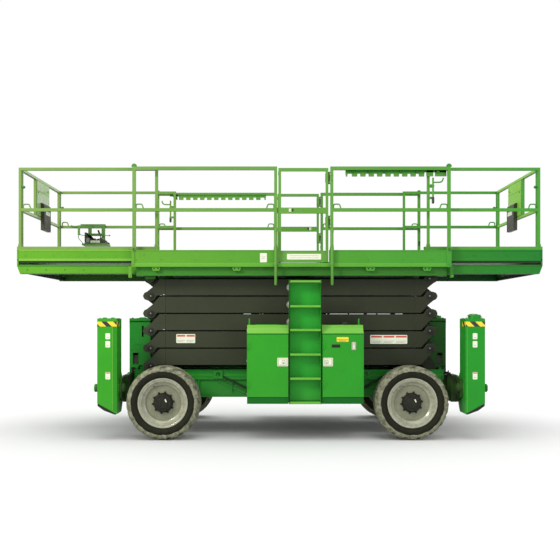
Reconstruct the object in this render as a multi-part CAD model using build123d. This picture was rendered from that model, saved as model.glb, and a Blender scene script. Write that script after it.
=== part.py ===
from build123d import *
import math
import os

os.makedirs("parts", exist_ok=True)

# Rough-terrain scissor lift, four-wheel drive, twin sliding deck extensions.
# Millimetres, +Z up, ground at z = 0. +X is the rear end, -X the front end.
# The side with the ladder seen first is -Y ("near"), the other is +Y ("far").
# Dimensions below count X from halfway between the outrigger legs. The pieces are then
# moved by SHIFT_X, so that the written origin is under the middle of the whole length.

# ---------------------------------------------------------------- wheels
TYRE_R, TYRE_W = 419.0, 305.0
BEAD_R = 254.0
FRONT_X, REAR_X = -1452.5, 1372.5
TRACK_HALF = 987.5
KINGPIN_Y = 900.0
HUB_Z = TYRE_R

# ---------------------------------------------------------------- chassis
CH_X0, CH_X1 = -1860.0, 1835.0
CH_Z0, CH_Z1 = 440.0, 767.0
CH_HALF = 634.0
TRACK_Z = 725.0           # top of the slide track

# ---------------------------------------------------------------- scissor stack
PIN_X = 1648.0            # pins lie at -PIN_X and +PIN_X when folded
PIN_Z = 821.0             # lowest pin line
PITCH = 205.6             # height of one folded level
LEVELS = 5
ARM_H = 190.0
OUTER_Y = (640.0, 720.0)  # outer beams, from |y| to |y|
INNER_Y = (540.0, 620.0)  # inner beams
PIN_R = 28.0
PIN_FIT = 0.05            # radial clearance of every pin in its bore
ROLLER_R = 88.0           # slide rollers at the two sliding corners
CROSS_R = 45.0            # radius of the inner frames' cross tubes
# the inner frames' cross tubes: level, (x, z) from the middle of the level
CROSS_TUBES = {
    1: ((-650, -20), (900, -56)),
    2: ((-900, 56),),
    3: ((-650, -20), (900, -56)),
    4: ((-900, 56),),
    5: ((-900, 56), (900, -56)),
}
CYL_FOOT, CYL_HEAD = (-650, -20), (650, -20)  # from the middle of levels 1, 3 and of 2, 4

# ---------------------------------------------------------------- lift cylinders
CYL_Y = 220.0
BARREL_R, BORE_R, ROD_R = 70.0, 46.0, 45.0
EYE_R = 75.0

# ---------------------------------------------------------------- outriggers
LEG_X = ((-2187.0, -1966.0), (1966.0, 2187.0))
LEG_PIN = (980.0, 580.0)  # |y|, z of the swing pin
LEG_TOP = 1375.0
LEG_FOOT = (298.0, 422.0)  # z of the foot at its inboard and outboard edges

# ---------------------------------------------------------------- side cabinets
CAB_X0, CAB_X1 = -498.0, 819.0
CAB_Y0, CAB_Y1 = 745.0, 1140.0
CAB_Z0, CAB_Z1 = 410.0, 1303.5
LADDER_X0, LADDER_X1 = -22.5, 345.0
LADDER_TOP = 1812.0
SKIN = 6.0

# ---------------------------------------------------------------- platform
DECK_X0, DECK_X1 = -1838.5, 1859.5
DECK_HALF = 915.0
FLOOR_Z = 2020.0
SIDE_Z0, SIDE_Z1 = 1973.0, 2170.0
RAIL_Z = 3138.0
MID_Z = 2637.0
RAIL_Y = (880.0, 912.0)    # main guard rails, from |y| to |y|
GATE_X0, GATE_X1 = -142.0, 437.0
GATE_PIN = (448.5, 877.0)  # x, |y| of the gate's hinge line
FRONT_END, REAR_END = -3196.0, 2945.0
SHIFT_X = -(FRONT_END + REAR_END) / 2
EXT_HALF = 835.0
EXT_FLOOR = 2057.0
EXT_TOP = 2180.0           # top of the extension's side panels
EXT_RAIL_Y = (800.0, 829.0)
EXT_RAIL_Z = 3142.0


def slab(x0, x1, y0, y1, z0, z1):
    """A block between two corners."""
    return Pos((x0 + x1) / 2, (y0 + y1) / 2, (z0 + z1) / 2) * Box(
        abs(x1 - x0), abs(y1 - y0), abs(z1 - z0)
    )


def side_slab(s, x0, x1, y0, y1, z0, z1):
    """A block whose y0..y1 are distances from the centre line, on side s = -1 or +1."""
    return slab(x0, x1, s * y0, s * y1, z0, z1)


def bar(axis, r, a, b, p, q):
    """A round bar along an axis from a to b, at p, q on the other two axes in order."""
    c, length = (a + b) / 2, abs(b - a)
    if axis == "x":
        return Pos(c, p, q) * Rot(0, 90, 0) * Cylinder(r, length)
    if axis == "y":
        return Pos(p, c, q) * Rot(90, 0, 0) * Cylinder(r, length)
    return Pos(p, q, c) * Cylinder(r, length)


def bar_between(p, q, r):
    """A round bar from point p to point q."""
    p, q = Vector(*p), Vector(*q)
    return Plane(origin=p, z_dir=(q - p).normalized()) * Cylinder(
        r, (q - p).length, align=(Align.CENTER, Align.CENTER, Align.MIN)
    )


def plate_xz(points, y0, y1):
    """A flat plate with its outline in X, Z and its thickness from y0 to y1."""
    lo, hi = min(y0, y1), max(y0, y1)
    face = Face(Wire.make_polygon([(x, lo, z) for x, z in points], close=True))
    return Solid.extrude(face, Vector(0, hi - lo, 0))


def plate_yz(points, x0, x1):
    """A flat plate with its outline in Y, Z and its thickness from x0 to x1."""
    lo, hi = min(x0, x1), max(x0, x1)
    face = Face(Wire.make_polygon([(lo, y, z) for y, z in points], close=True))
    return Solid.extrude(face, Vector(hi - lo, 0, 0))


def ring_y(profile, x, y, z):
    """A solid of revolution about an axis along Y; profile is (offset along Y, radius)."""
    face = Face(Wire.make_polygon([(r, o, 0) for o, r in profile], close=True))
    solid = Solid.revolve(face, 360, Axis((0, 0, 0), (0, 1, 0)))
    return Pos(x, y, z) * solid


def fused(*solids):
    out = Part() + [s for s in solids]
    return out


def group(*shapes):
    """Pieces side by side in one node, each left as its own solid."""
    return Compound([solid for shape in shapes for solid in shape.solids()])


def save(name, shape):
    """Writes a piece, moved so that the origin is under the middle of the whole length."""
    export_step(Pos(SHIFT_X, 0, 0) * shape, f"parts/{name}.step")


SIDES = (("near", -1), ("far", 1))
ENDS = (("front", -1), ("rear", 1))

# ================================================================ wheels
# tyre section: (offset from the wheel's middle, radius)
TYRE_SECTION = [
    (-118, 254.5), (118, 254.5), (120, 282), (152.5, 325), (149, 362),
    (138, 402), (112, 419), (-112, 419), (-138, 402), (-149, 362),
    (-152.5, 325), (-120, 282),
]
# rim section, outboard side at positive offset
RIM_SECTION = [
    (-127, 244), (-127, 277), (-121, 277), (-119, 254), (119, 254), (121, 277),
    (127, 277), (127, 244), (60, 236), (66, 214), (78, 206), (78, 106),
    (122, 100), (122, 40.05), (40, 40.05), (40, 100), (64, 106), (64, 198),
    (48, 214), (42, 236), (30, 244),
]
for end, x in (("front", FRONT_X), ("rear", REAR_X)):
    for side, s in SIDES:
        y = s * TRACK_HALF
        save(f"tyre_{end}_{side}", ring_y(TYRE_SECTION, x, y, HUB_Z))
        profile = [(s * o, r) for o, r in RIM_SECTION]
        save(f"rim_{end}_{side}", ring_y(profile, x, y, HUB_Z))

# ================================================================ steering knuckles
for side, s in SIDES:
    body = bar("z", 46, HUB_Z - 58, HUB_Z + 58, FRONT_X, s * KINGPIN_Y)
    body = body + bar("y", 57, s * KINGPIN_Y, s * 1018, FRONT_X, HUB_Z)
    body = body + bar("y", 40, s * KINGPIN_Y, s * 1104, FRONT_X, HUB_Z)
    # steering arm towards the rear of the hub, to the track rod's end
    body = body + slab(FRONT_X + 30, FRONT_X + 150, s * 866, s * 896, HUB_Z + 18, HUB_Z + 46)
    body = body - bar("z", 22 + PIN_FIT, HUB_Z - 80, HUB_Z + 80, FRONT_X, s * KINGPIN_Y)
    save(f"steering_knuckle_{side}", body)

# ================================================================ axles
front = bar("y", 58, -800, 800, FRONT_X, HUB_Z)
front = front + bar("y", 135, -95, 95, FRONT_X, HUB_Z) + bar("x", 62, FRONT_X, FRONT_X + 190, 0, HUB_Z)
for side, s in SIDES:
    # fork that holds the kingpin, and the pad that bolts to the chassis
    front = front + slab(FRONT_X - 60, FRONT_X + 60, s * 770, s * 825, HUB_Z - 94, HUB_Z + 94)
    for z0, z1 in ((HUB_Z - 94, HUB_Z - 65), (HUB_Z + 65, HUB_Z + 94)):
        front = front + slab(FRONT_X - 48, FRONT_X + 48, s * 800, s * 945, z0, z1)
    front = front + bar("z", 22, HUB_Z - 94, HUB_Z + 94, FRONT_X, s * KINGPIN_Y)
    front = front + slab(FRONT_X - 70, FRONT_X + 70, s * 400, s * 480, HUB_Z, 565)
save("front_axle", front)

rear = bar("y", 58, -930, 930, REAR_X, HUB_Z)
rear = rear + bar("y", 40, -1104, 1104, REAR_X, HUB_Z)
rear = rear + bar("y", 135, -95, 95, REAR_X, HUB_Z) + bar("x", 62, REAR_X - 190, REAR_X, 0, HUB_Z)
for side, s in SIDES:
    rear = rear + bar("y", 105, s * 800, s * 1018, REAR_X, HUB_Z)
    rear = rear + slab(REAR_X - 70, REAR_X + 70, s * 400, s * 480, HUB_Z, 565)
save("rear_axle", rear)

# ================================================================ chassis
# one side's members: from |y| to |y|, from z to z, and whether the axles cut through it
RAIL_MEMBERS = (
    (612, CH_HALF, 650, TRACK_Z, False),        # top band
    (626, CH_HALF, TRACK_Z, CH_Z1, False),      # guide lip
    (500, 600, TRACK_Z - 14, TRACK_Z, False),   # slide track
    (600, 612, 500, TRACK_Z, False),            # outer web
    (600, 612, 455, 500, True),
    (500, 512, 500, TRACK_Z - 14, False),       # inner web
    (500, 512, 455, 500, True),
    (500, CH_HALF, CH_Z0, 455, True),           # bottom flange
)
AXLE_CUT = 150.0
BAYS = ((CH_X0, FRONT_X - AXLE_CUT), (FRONT_X + AXLE_CUT, REAR_X - AXLE_CUT), (REAR_X + AXLE_CUT, CH_X1))
frame = []
for side, s in SIDES:
    for y0, y1, z0, z1, cut in RAIL_MEMBERS:
        for x0, x1 in BAYS if cut else ((CH_X0, CH_X1),):
            frame.append(side_slab(s, x0, x1, y0, y1, z0, z1))
    # pivots of the lowest outer arms, and the cabinets' carriers
    ear = plate_xz(
        [(-1740, TRACK_Z), (-1600, TRACK_Z), (-1600, 838), (-1625, 866), (-1671, 870), (-1700, 840)],
        s * 560, s * 600,
    )
    frame.append(ear - bar("y", PIN_R + PIN_FIT, s * 500, s * 700, -PIN_X, PIN_Z))
    for x in (-440, -60, 380, 740):
        frame.append(side_slab(s, x, x + 70, 612, CAB_Y0, 500, 640))
# cross members: x from, x to, z from, z to
CROSS_MEMBERS = (
    (CH_X0, CH_X0 + 60, 455, 711),
    (FRONT_X - 150, FRONT_X + 150, 565, 700),
    (-900, -840, 470, 700),
    (-60, 60, 470, 700),
    (760, 820, 470, 700),
    (REAR_X - 150, REAR_X + 150, 565, 700),
    (CH_X1 - 60, CH_X1, 455, 711),
)
for x0, x1, z0, z1 in CROSS_MEMBERS:
    frame.append(slab(x0, x1, -500, 500, z0, z1))
save("chassis_frame", group(*frame))

# tie-down plates on the chassis sides, each with an eye
lugs = None
for side, s in SIDES:
    for x in (-860, 900):
        lug = side_slab(s, x - 55, x + 55, CH_HALF, CH_HALF + 20, 660, 760)
        lug = lug - bar("y", 25, s * 600, s * 700, x, 712)
        lugs = lug if lugs is None else lugs + lug
save("tie_down_lugs", lugs)

# outrigger carriers: an arm out of the chassis end, then a thin plate that holds the pin
for end, e in ENDS:
    frame_end = CH_X0 if e < 0 else CH_X1
    carrier = [slab(frame_end, e * 1960, -560, 560, 470, 700)]
    for side, s in SIDES:
        carrier += [
            slab(e * 1885, e * 1960, s * 560, s * 800, 400, 715),
            plate_yz(
                [(s * 800, 400), (s * 1010, 470), (s * 1050, 580), (s * 1010, 690), (s * 800, 715)],
                e * 1935, e * 1960,
            ),
            bar("x", 40, e * 1960, e * 2192, s * LEG_PIN[0], LEG_PIN[1]),
            bar("x", 45, e * 2192, e * 2250, s * LEG_PIN[0], LEG_PIN[1]),
        ]
    save(f"outrigger_carrier_{end}", group(*carrier))

# end towers standing on the chassis inside the scissor arms
TOWER_Y, TOWER_TOP, TOWER_WALL = 496.0, 1378.0, 8.0
# openings in each side wall: |x| from, |x| to, z from, z to, counted from the tower's outer face
TOWER_HOLES = ((35, 113, 821, 968), (145, 175, 1154, 1293))
for end, e in ENDS:
    outer, inner = (-1945, -1690) if e < 0 else (1893, 1690)
    wall = TOWER_WALL
    tower = [
        slab(outer, inner, -TOWER_Y, TOWER_Y, TOWER_TOP - wall, TOWER_TOP),
        slab(outer, outer - e * wall, -TOWER_Y, TOWER_Y, 715, TOWER_TOP - wall),
        slab(inner + e * wall, inner, -TOWER_Y, TOWER_Y, 715, TOWER_TOP - wall),
    ]
    x_out, x_in = outer - e * wall, inner + e * wall
    for side, s in SIDES:
        z = 715.0
        for h0, h1, z0, z1 in TOWER_HOLES:
            a, b = outer - e * h0, outer - e * h1
            tower.append(side_slab(s, x_out, x_in, TOWER_Y - wall, TOWER_Y, z, z0))
            tower.append(side_slab(s, x_out, a, TOWER_Y - wall, TOWER_Y, z0, z1))
            tower.append(side_slab(s, b, x_in, TOWER_Y - wall, TOWER_Y, z0, z1))
            z = z1
        tower.append(side_slab(s, x_out, x_in, TOWER_Y - wall, TOWER_Y, z, TOWER_TOP - wall))
    save(f"end_tower_{end}", group(*tower))

# ================================================================ outrigger legs
for end, e in ENDS:
    xi, xo = e * 1966, e * 2187
    for side, s in SIDES:
        outline = [
            (s * 1140, 250), (s * 1140, LEG_TOP), (s * 880, LEG_TOP), (s * 880, 760),
            (s * 735, 600), (s * 735, 500), (s * 880, 300), (s * 880, 250),
        ]
        leg = plate_yz(outline, xi, xo)
        # the foot is cut on the slant, higher at its outboard edge
        leg = leg - plate_xz([(xi - e * 1, LEG_FOOT[0]), (xo + e * 1, LEG_FOOT[1]), (xo + e * 1, 200), (xi - e * 1, 200)],
                             s * 700, s * 1200)
        leg = leg - bar("x", 40 + PIN_FIT, e * 1900, e * 2250, s * LEG_PIN[0], LEG_PIN[1])
        if e > 0:  # spare foot pad stowed on the rear legs
            leg = leg + bar("z", 71, LEG_TOP, LEG_TOP + 46, 2100, s * 1010)
        else:      # two small lifting studs on the front legs
            for x in (-2118, -2026):
                leg = leg + bar("z", 14, LEG_TOP, LEG_TOP + 12, x, s * 1010)
        save(f"outrigger_leg_{end}_{side}", leg)

# ================================================================ side cabinets
DOORS = (  # name, x from, x to, hinge x
    ("front", CAB_X0, LADDER_X0 - 10, CAB_X0 + 6),
    ("rear", LADDER_X1 + 10, CAB_X1, LADDER_X1 + 14),
)
SECTION = [  # |y|, z of the cabinet's cross-section
    (CAB_Y0, CAB_Z0 + 20), (1105, CAB_Z0), (1132, 480), (1132, 1205),
    (1075, 1272), (1062, CAB_Z1), (CAB_Y0, CAB_Z1),
]
DOOR_FACE = 1140.0
for side, s in SIDES:
    shell = plate_yz([(s * y, z) for y, z in SECTION], CAB_X0, CAB_X1)
    inner = [(CAB_Y0 + SKIN, CAB_Z0 + 30), (1098, CAB_Z0 + 30), (1114, 490), (1114, 1198),
             (1068, 1264), (1056, CAB_Z1 - SKIN), (CAB_Y0 + SKIN, CAB_Z1 - SKIN)]
    for x0, x1 in ((CAB_X0 + SKIN, LADDER_X0 - 12 - SKIN), (LADDER_X1 + 12 + SKIN, CAB_X1 - SKIN)):
        shell = shell - plate_yz([(s * y, z) for y, z in inner], x0, x1)
    # the bay behind the ladder joins both sides
    shell = shell - slab(CAB_X0 + 20, CAB_X1 - 20, s * (CAB_Y0 + SKIN), s * 1010, 500, CAB_Z1 - SKIN)
    # door openings and the ladder's recess
    for name, x0, x1, hx in DOORS:
        shell = shell - slab(x0 + 26, x1 - 26, s * 1090, s * 1150, 500, 1190)
        shell = shell - slab(x0 - 6, x1 + 6, s * 1112, s * 1150, 484, 1203)
    shell = shell - slab(LADDER_X0 - 6, LADDER_X1 + 6, s * 1022, s * 1160, 400, 1320)
    save(f"cabinet_{side}", shell)
    for name, x0, x1, hx in DOORS:
        door = slab(x0, x1, s * 1118, s * DOOR_FACE, 490, 1197)
        for z in (590, 1030):
            door = door + bar("z", 6, z, z + 80, hx, s * 1143)
            door = door + side_slab(s, hx, hx + 32, DOOR_FACE, 1144, z, z + 80)
        save(f"cabinet_door_{name}_{side}", door)

# engine block inside the far cabinet
save("engine_block", slab(-440, 300, 775, 1000, 520, 1120))

# ================================================================ ladders
RUNGS = (423, 697, 969, 1246, 1514, 1795)
RAIL_W = 12.0             # the rails are plates seen on edge
for side, s in SIDES:
    ladder = [side_slab(s, x, x + RAIL_W, 1030, 1140, CAB_Z0, LADDER_TOP)
              for x in (LADDER_X0, LADDER_X1 - RAIL_W)]
    ladder += [side_slab(s, LADDER_X0 + RAIL_W, LADDER_X1 - RAIL_W, 1042, 1136, z - 12, z + 12)
               for z in RUNGS]
    # green back plate
    ladder.append(side_slab(s, LADDER_X0, LADDER_X1, 1024, 1030, CAB_Z0 + 30, LADDER_TOP - 30))
    save(f"entry_ladder_{side}", group(*ladder))

# ================================================================ scissor arms
HALF_PITCH = PITCH / 2
# the lower tip of a beam: (x, z) from the middle of the arm
TIP = [(-1540, 95), (-1633, 0), (-1696, -50.8), (-1726, -64.8), (-1742, -94.8),
       (-1742, -108.8), (-1726, -140.8), (-1688, -154.8), (-1623, -154.8), (-1573, -95)]
OUTLINE = TIP + [(-x, -z) for x, z in TIP]


def arm_plate(mirror, y0, y1, zc):
    pts = [((-x if mirror else x), z + zc) for x, z in OUTLINE]
    return plate_xz(pts, y0, y1)


theta0 = math.atan2(PITCH, 2 * PIN_X)
ARM_L = math.hypot(PITCH, 2 * PIN_X)
for level in range(1, LEVELS + 1):
    zc = PIN_Z + (level - 0.5) * PITCH
    low, high = zc - HALF_PITCH, zc + HALF_PITCH
    # outer frame: low at the front, high at the rear, joined by its two end pins
    outer = []
    for side, s in SIDES:
        beam = arm_plate(False, s * OUTER_Y[0], s * OUTER_Y[1], zc)
        outer.append(beam - bar("y", 50 + PIN_FIT, s * 600, s * 760, 0, zc))
    for x, z in ((-PIN_X, low), (PIN_X, high)):
        outer.append(bar("y", PIN_R, -OUTER_Y[0], OUTER_Y[0], x, z))
        outer += [bar("y", PIN_R, s * OUTER_Y[1], s * 735, x, z) for side, s in SIDES]
    if level == LEVELS:  # slide rollers under the platform's track, threaded on the rear pin
        outer[-3] = fused(outer[-3], *[bar("y", ROLLER_R, s * 500, s * 530, PIN_X, high) for side, s in SIDES])
    save(f"scissor_arm_outer_{level}", group(*outer))
    # inner frame: low at the rear, high at the front, joined by cross tubes
    inner = []
    for side, s in SIDES:
        beam = arm_plate(True, s * INNER_Y[0], s * INNER_Y[1], zc)
        for x, z in ((PIN_X, low), (-PIN_X, high)):
            if not (level == 1 and x > 0):
                beam = beam - bar("y", PIN_R + PIN_FIT, s * 500, s * 650, x, z)
        inner += [beam, bar("y", 50, s * INNER_Y[1], s * 732, 0, zc)]
        if level == 1:  # slide roller on the chassis track
            inner.append(bar("y", ROLLER_R, s * 510, s * INNER_Y[0], PIN_X, low))
    for x, z in CROSS_TUBES[level]:
        inner.append(bar("y", CROSS_R, -INNER_Y[0], INNER_Y[0], x, zc + z))
    if level in (2, 4):
        # a flat crown plate with two pairs of lugs that take the rod eyes
        crown = zc + 70
        inner.append(slab(500, 800, -INNER_Y[0], INNER_Y[0], crown, crown + 22))
        hx, hz = CYL_HEAD
        for y in (-CYL_Y, CYL_Y):
            for y0 in (y - 68, y + 52):
                inner.append(plate_xz(
                    [(hx - 110, crown), (hx - 55, zc + hz - 30), (hx - 25, zc + hz - 52),
                     (hx + 25, zc + hz - 52), (hx + 55, zc + hz - 30), (hx + 110, crown)],
                    y0, y0 + 16,
                ))
    save(f"scissor_arm_inner_{level}", group(*inner))

# ================================================================ lift cylinders
# each stands on the front cross tube of one inner frame and pushes the lugs of the next
for name, level in (("lower", 1), ("upper", 3)):
    z1 = PIN_Z + (level - 0.5) * PITCH
    z2 = z1 + PITCH
    p = (CYL_FOOT[0], z1 + CYL_FOOT[1])
    q = (CYL_HEAD[0], z2 + CYL_HEAD[1])
    length = math.hypot(q[0] - p[0], q[1] - p[1])
    ux, uz = (q[0] - p[0]) / length, (q[1] - p[1]) / length
    barrel, rod = [], []
    for y in (-CYL_Y, CYL_Y):
        at = lambda d: (p[0] + d * ux, y, p[1] + d * uz)
        b = bar_between(at(30), at(1110), BARREL_R) + bar("y", EYE_R, y - 55, y + 55, p[0], p[1])
        b = b - bar("y", CROSS_R + PIN_FIT, y - 80, y + 80, p[0], p[1])
        b = b - bar_between(at(130), at(1140), BORE_R)
        barrel.append(b)
        r = bar_between(at(180), at(length - 30), ROD_R)
        r = r + bar("y", 60, y - 44, y + 44, q[0], q[1])
        rod.append(r)
    save(f"lift_cylinder_barrel_{name}", fused(*barrel))
    save(f"lift_cylinder_rod_{name}", fused(*rod))

# ================================================================ platform
deck = [slab(DECK_X0, DECK_X1, -905, 905, FLOOR_Z - 12, FLOOR_Z)]
for side, s in SIDES:
    deck += [
        side_slab(s, DECK_X0, GATE_X0 - 6, 905, DECK_HALF, SIDE_Z0, SIDE_Z1),
        side_slab(s, GATE_X0 - 6, GATE_X1 + 6, 905, DECK_HALF, SIDE_Z0, FLOOR_Z),
        side_slab(s, GATE_X1 + 6, DECK_X1, 905, DECK_HALF, SIDE_Z0, SIDE_Z1),
    ]
save("main_deck", group(*deck))

# channels along both sides that carry the extensions' beams: from |y| to |y|, from z to z
CHANNEL = ((858, 868, 1873, 2008), (780, 858, 1873, 1883), (768, 780, 1873, 2008))
TRACK_UNDER = 1943.0
sub = []
for side, s in SIDES:
    for y0, y1, z0, z1 in CHANNEL:
        sub.append(side_slab(s, DECK_X0 + 40, DECK_X1 - 40, y0, y1, z0, z1))
    sub.append(side_slab(s, -1560, 1765, 496, 620, TRACK_UNDER, TRACK_UNDER + 10))
    # pivots of the highest inner arms
    sub.append(plate_xz(
        [(-1720, 1990), (-1720, 1840), (-1690, 1806), (-1642, 1801), (-1600, 1850), (-1600, 1990)],
        s * 650, s * 700,
    ))
    sub.append(bar("y", PIN_R, s * 536, s * 650, -PIN_X, PIN_Z + LEVELS * PITCH))
sub.append(slab(-1725, -1595, -768, 768, 1990, 2008))
for x in (-1765, -1400, -900, -400, 100, 600, 1100, 1560, 1740):
    sub.append(slab(x - 25, x + 25, -768, 768, TRACK_UNDER + 10, 2008))
save("platform_subframe", group(*sub))


def frame_rail(s, x0, x1, y, posts, foot, top, mid):
    """One guard rail frame between x0 and x1, in |y| range y: (top, thickness) and (middle, thickness)."""
    out = [side_slab(s, x0, x1, *y, top[0] - top[1], top[0])]
    for a, b in posts:
        out.append(side_slab(s, a, b, *y, foot, top[0] - top[1]))
    out.append(side_slab(s, posts[0][1], posts[1][0], *y, mid[0] - mid[1] / 2, mid[0] + mid[1] / 2))
    return out


# main guard rails: x from, x to, width of the end post, width of the post at the gate
MAIN_FRAMES = ((-1834, -156, 39, 35), (1855, 460, 37, 35))
for side, s in SIDES:
    rails = []
    for x_end, x_gate, w_end, w_gate in MAIN_FRAMES:
        e = -1 if x_end < 0 else 1
        posts = sorted((sorted((x_end, x_end - e * w_end)), sorted((x_gate, x_gate + e * w_gate))))
        rails += frame_rail(s, min(x_end, x_gate), max(x_end, x_gate), RAIL_Y, posts, SIDE_Z1,
                            (RAIL_Z, 40), (MID_Z, 38))
        # each post's stake inside the deck's side panel
        rails += [side_slab(s, a, b, RAIL_Y[0], 905, FLOOR_Z, SIDE_Z1) for a, b in posts]
        # lug plate on top of the end post
        c = x_end - e * w_end / 2
        rails.append(plate_xz(
            [(c - 32, RAIL_Z), (c + 32, RAIL_Z), (c + 30, RAIL_Z + 16), (c + 18, RAIL_Z + 32),
             (c, RAIL_Z + 38), (c - 18, RAIL_Z + 32), (c - 30, RAIL_Z + 16)],
            s * 890, s * 902,
        ))
        # entry handle outside the deck edge, beside the gate
        x = x_gate + e * 17
        rails.append(bar("z", 16, 1770, 2400, x, s * 950))
        rails += [side_slab(s, x - 8, x + 8, RAIL_Y[1], 934, z - 10, z + 10) for z in (2385, 2215)]
    save(f"guardrail_{side}", group(*rails))

# gates: hinged on the rear post, swinging in over the deck
for side, s in SIDES:
    x0, x1 = GATE_X0, GATE_X1
    gate = [
        side_slab(s, x0, x0 + 32, 880, 905, 2032, 3122),
        side_slab(s, x1 - 31, x1, 880, 905, 2032, 3122),
        side_slab(s, x0 + 32, x1 - 31, 880, 905, 3085, 3122),
        side_slab(s, x0 + 32, x1 - 31, 880, 905, 2595, 2663),
        side_slab(s, x0 + 32, x1 - 31, 897, 905, 2032, 2160),
    ]
    for z0, z1 in ((2440, 2562), (2950, 3070)):
        gate.append(bar("z", 8, z0, z1, GATE_PIN[0], s * GATE_PIN[1]))
        gate.append(side_slab(s, x1 - 18, GATE_PIN[0] - 8, 872, 880, z0, z1))
    save(f"entry_gate_{side}", group(*gate))

# ---------------------------------------------------------------- deck extensions
# end, direction, deck inner end, outer end, inner post from x to x, end post from x to x
EXTENSIONS = (
    ("front", -1, -1540.0, FRONT_END, (-1584, -1550), (-3178, -3148)),
    ("rear", 1, 1566.0, REAR_END, (1597, 1628), (2891, 2921)),
)
EXT_BEAM_Y, EXT_BEAM_Z = (788.0, 833.0), (1897.0, 1997.0)
for end, e, inner_x, outer_x, post_in, post_out in EXTENSIONS:
    plate_x = outer_x - e * 8
    deck = [slab(inner_x, plate_x, -827, 827, EXT_FLOOR - 10, EXT_FLOOR)]
    for side, s in SIDES:
        deck.append(side_slab(s, inner_x, plate_x, 827, EXT_HALF, EXT_FLOOR - 10, EXT_TOP))
        # carrying beam under the floor, its outer end cut on the slant
        z0, z1 = EXT_BEAM_Z
        deck.append(plate_xz(
            [(inner_x, z0), (outer_x - e * 36, z0), (outer_x, z1 - 6), (outer_x, z1), (inner_x, z1)],
            s * EXT_BEAM_Y[0], s * EXT_BEAM_Y[1],
        ))
    deck.append(slab(plate_x, outer_x, -EXT_HALF, EXT_HALF, EXT_BEAM_Z[1], EXT_TOP))
    deck.append(slab(outer_x - e * 60, plate_x, -EXT_BEAM_Y[0], EXT_BEAM_Y[0], 1950, EXT_BEAM_Z[1]))
    save(f"extension_deck_{end}", group(*deck))

    foot, top, rail_t = EXT_TOP + 38, EXT_RAIL_Z, 34
    mid = (2649, 36)
    rails = []
    for side, s in SIDES:
        rails += frame_rail(s, min(post_in[0], post_out[0]), max(post_in[1], post_out[1]), EXT_RAIL_Y,
                            sorted((post_in, post_out)), foot, (top, rail_t), mid)
        rails.append(side_slab(s, inner_x, outer_x, EXT_RAIL_Y[0], 833, EXT_TOP, foot))
        # corner post of the end frame
        rails.append(side_slab(s, *post_out, 748, 785, foot, top - rail_t))
    lo, hi = post_out
    rails.append(slab(lo, hi, -800, 800, top - rail_t, top))
    rails.append(slab(outer_x, outer_x - e * 48, -800, 800, EXT_TOP, foot))
    # middle rail right across, and a short post that stands on it beside the plate
    rails.append(slab(lo, hi, -748, 748, mid[0] - 18, mid[0] + 18))
    rails.append(slab(lo, hi, -280, -240, mid[0] + 18, top - rail_t))
    inside = hi if e < 0 else lo
    rails.append(slab(inside, inside + e * 4, -240, 270, mid[0] + 18, top - rail_t))
    save(f"extension_guardrail_{end}", group(*rails))

    # flat box for papers hung inside the end rail
    box = plate_xz(
        [(inside, 2500), (inside - e * 44, 2500), (inside - e * 44, 2792), (inside, 2835)],
        -93, 188,
    )
    save(f"document_box_{end}", box)

# operator's console hung on the front extension's far rail: a hooked frame that carries
# a tray, and on the tray the control box with its dipped top
# x from, x to, y from, y to, z from, z to
CONSOLE_FRAME = (
    (-2905, -2528, 774, 797, 2632, 2669),   # plate behind the middle rail
    (-2866, -2528, 774, 829, 2669, 2685),   # hook over the rail
    (-2905, -2877, 774, 797, 2535, 2632),   # hanger at its outer end
    (-2760, -2714, 774, 797, 2395, 2632),   # uprights down to the tray
    (-2575, -2528, 774, 797, 2395, 2632),
    (-2714, -2575, 774, 797, 2522, 2556),   # cross bar between them
    (-2800, -2455, 590, 797, 2375, 2395),   # tray
)
CONSOLE_BOX = [
    (-2766, 2395), (-2766, 2547), (-2742, 2547), (-2715, 2492), (-2688, 2464), (-2651, 2455),
    (-2618, 2453), (-2585, 2466), (-2552, 2470), (-2489, 2434), (-2458, 2421), (-2458, 2395),
]
console = [slab(*row) for row in CONSOLE_FRAME]
console.append(plate_xz(CONSOLE_BOX, 600, 770))
save("control_console", group(*console))
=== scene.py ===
import math
import random

import bmesh
import bpy
from mathutils import Matrix, Vector


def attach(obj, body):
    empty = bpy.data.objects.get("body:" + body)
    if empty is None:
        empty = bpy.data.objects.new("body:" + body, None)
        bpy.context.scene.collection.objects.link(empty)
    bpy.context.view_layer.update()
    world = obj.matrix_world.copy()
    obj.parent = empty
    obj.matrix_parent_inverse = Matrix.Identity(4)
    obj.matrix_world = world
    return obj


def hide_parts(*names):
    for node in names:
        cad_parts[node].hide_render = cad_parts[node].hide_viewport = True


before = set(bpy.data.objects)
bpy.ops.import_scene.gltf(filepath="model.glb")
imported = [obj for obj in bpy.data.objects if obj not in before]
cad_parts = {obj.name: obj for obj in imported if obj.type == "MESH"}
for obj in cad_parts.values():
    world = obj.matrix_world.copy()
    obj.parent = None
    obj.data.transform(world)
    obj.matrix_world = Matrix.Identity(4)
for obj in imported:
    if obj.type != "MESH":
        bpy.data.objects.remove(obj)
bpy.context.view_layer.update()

# Metres. Lengths along X below count from halfway between the outrigger legs, as in the
# part's own source, and every mesh is written DX further along.
DX = 0.1255
SIDES = (("near", -1), ("far", 1))
ENDS = (("front", -1), ("rear", 1))
rng = random.Random(7)


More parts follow.
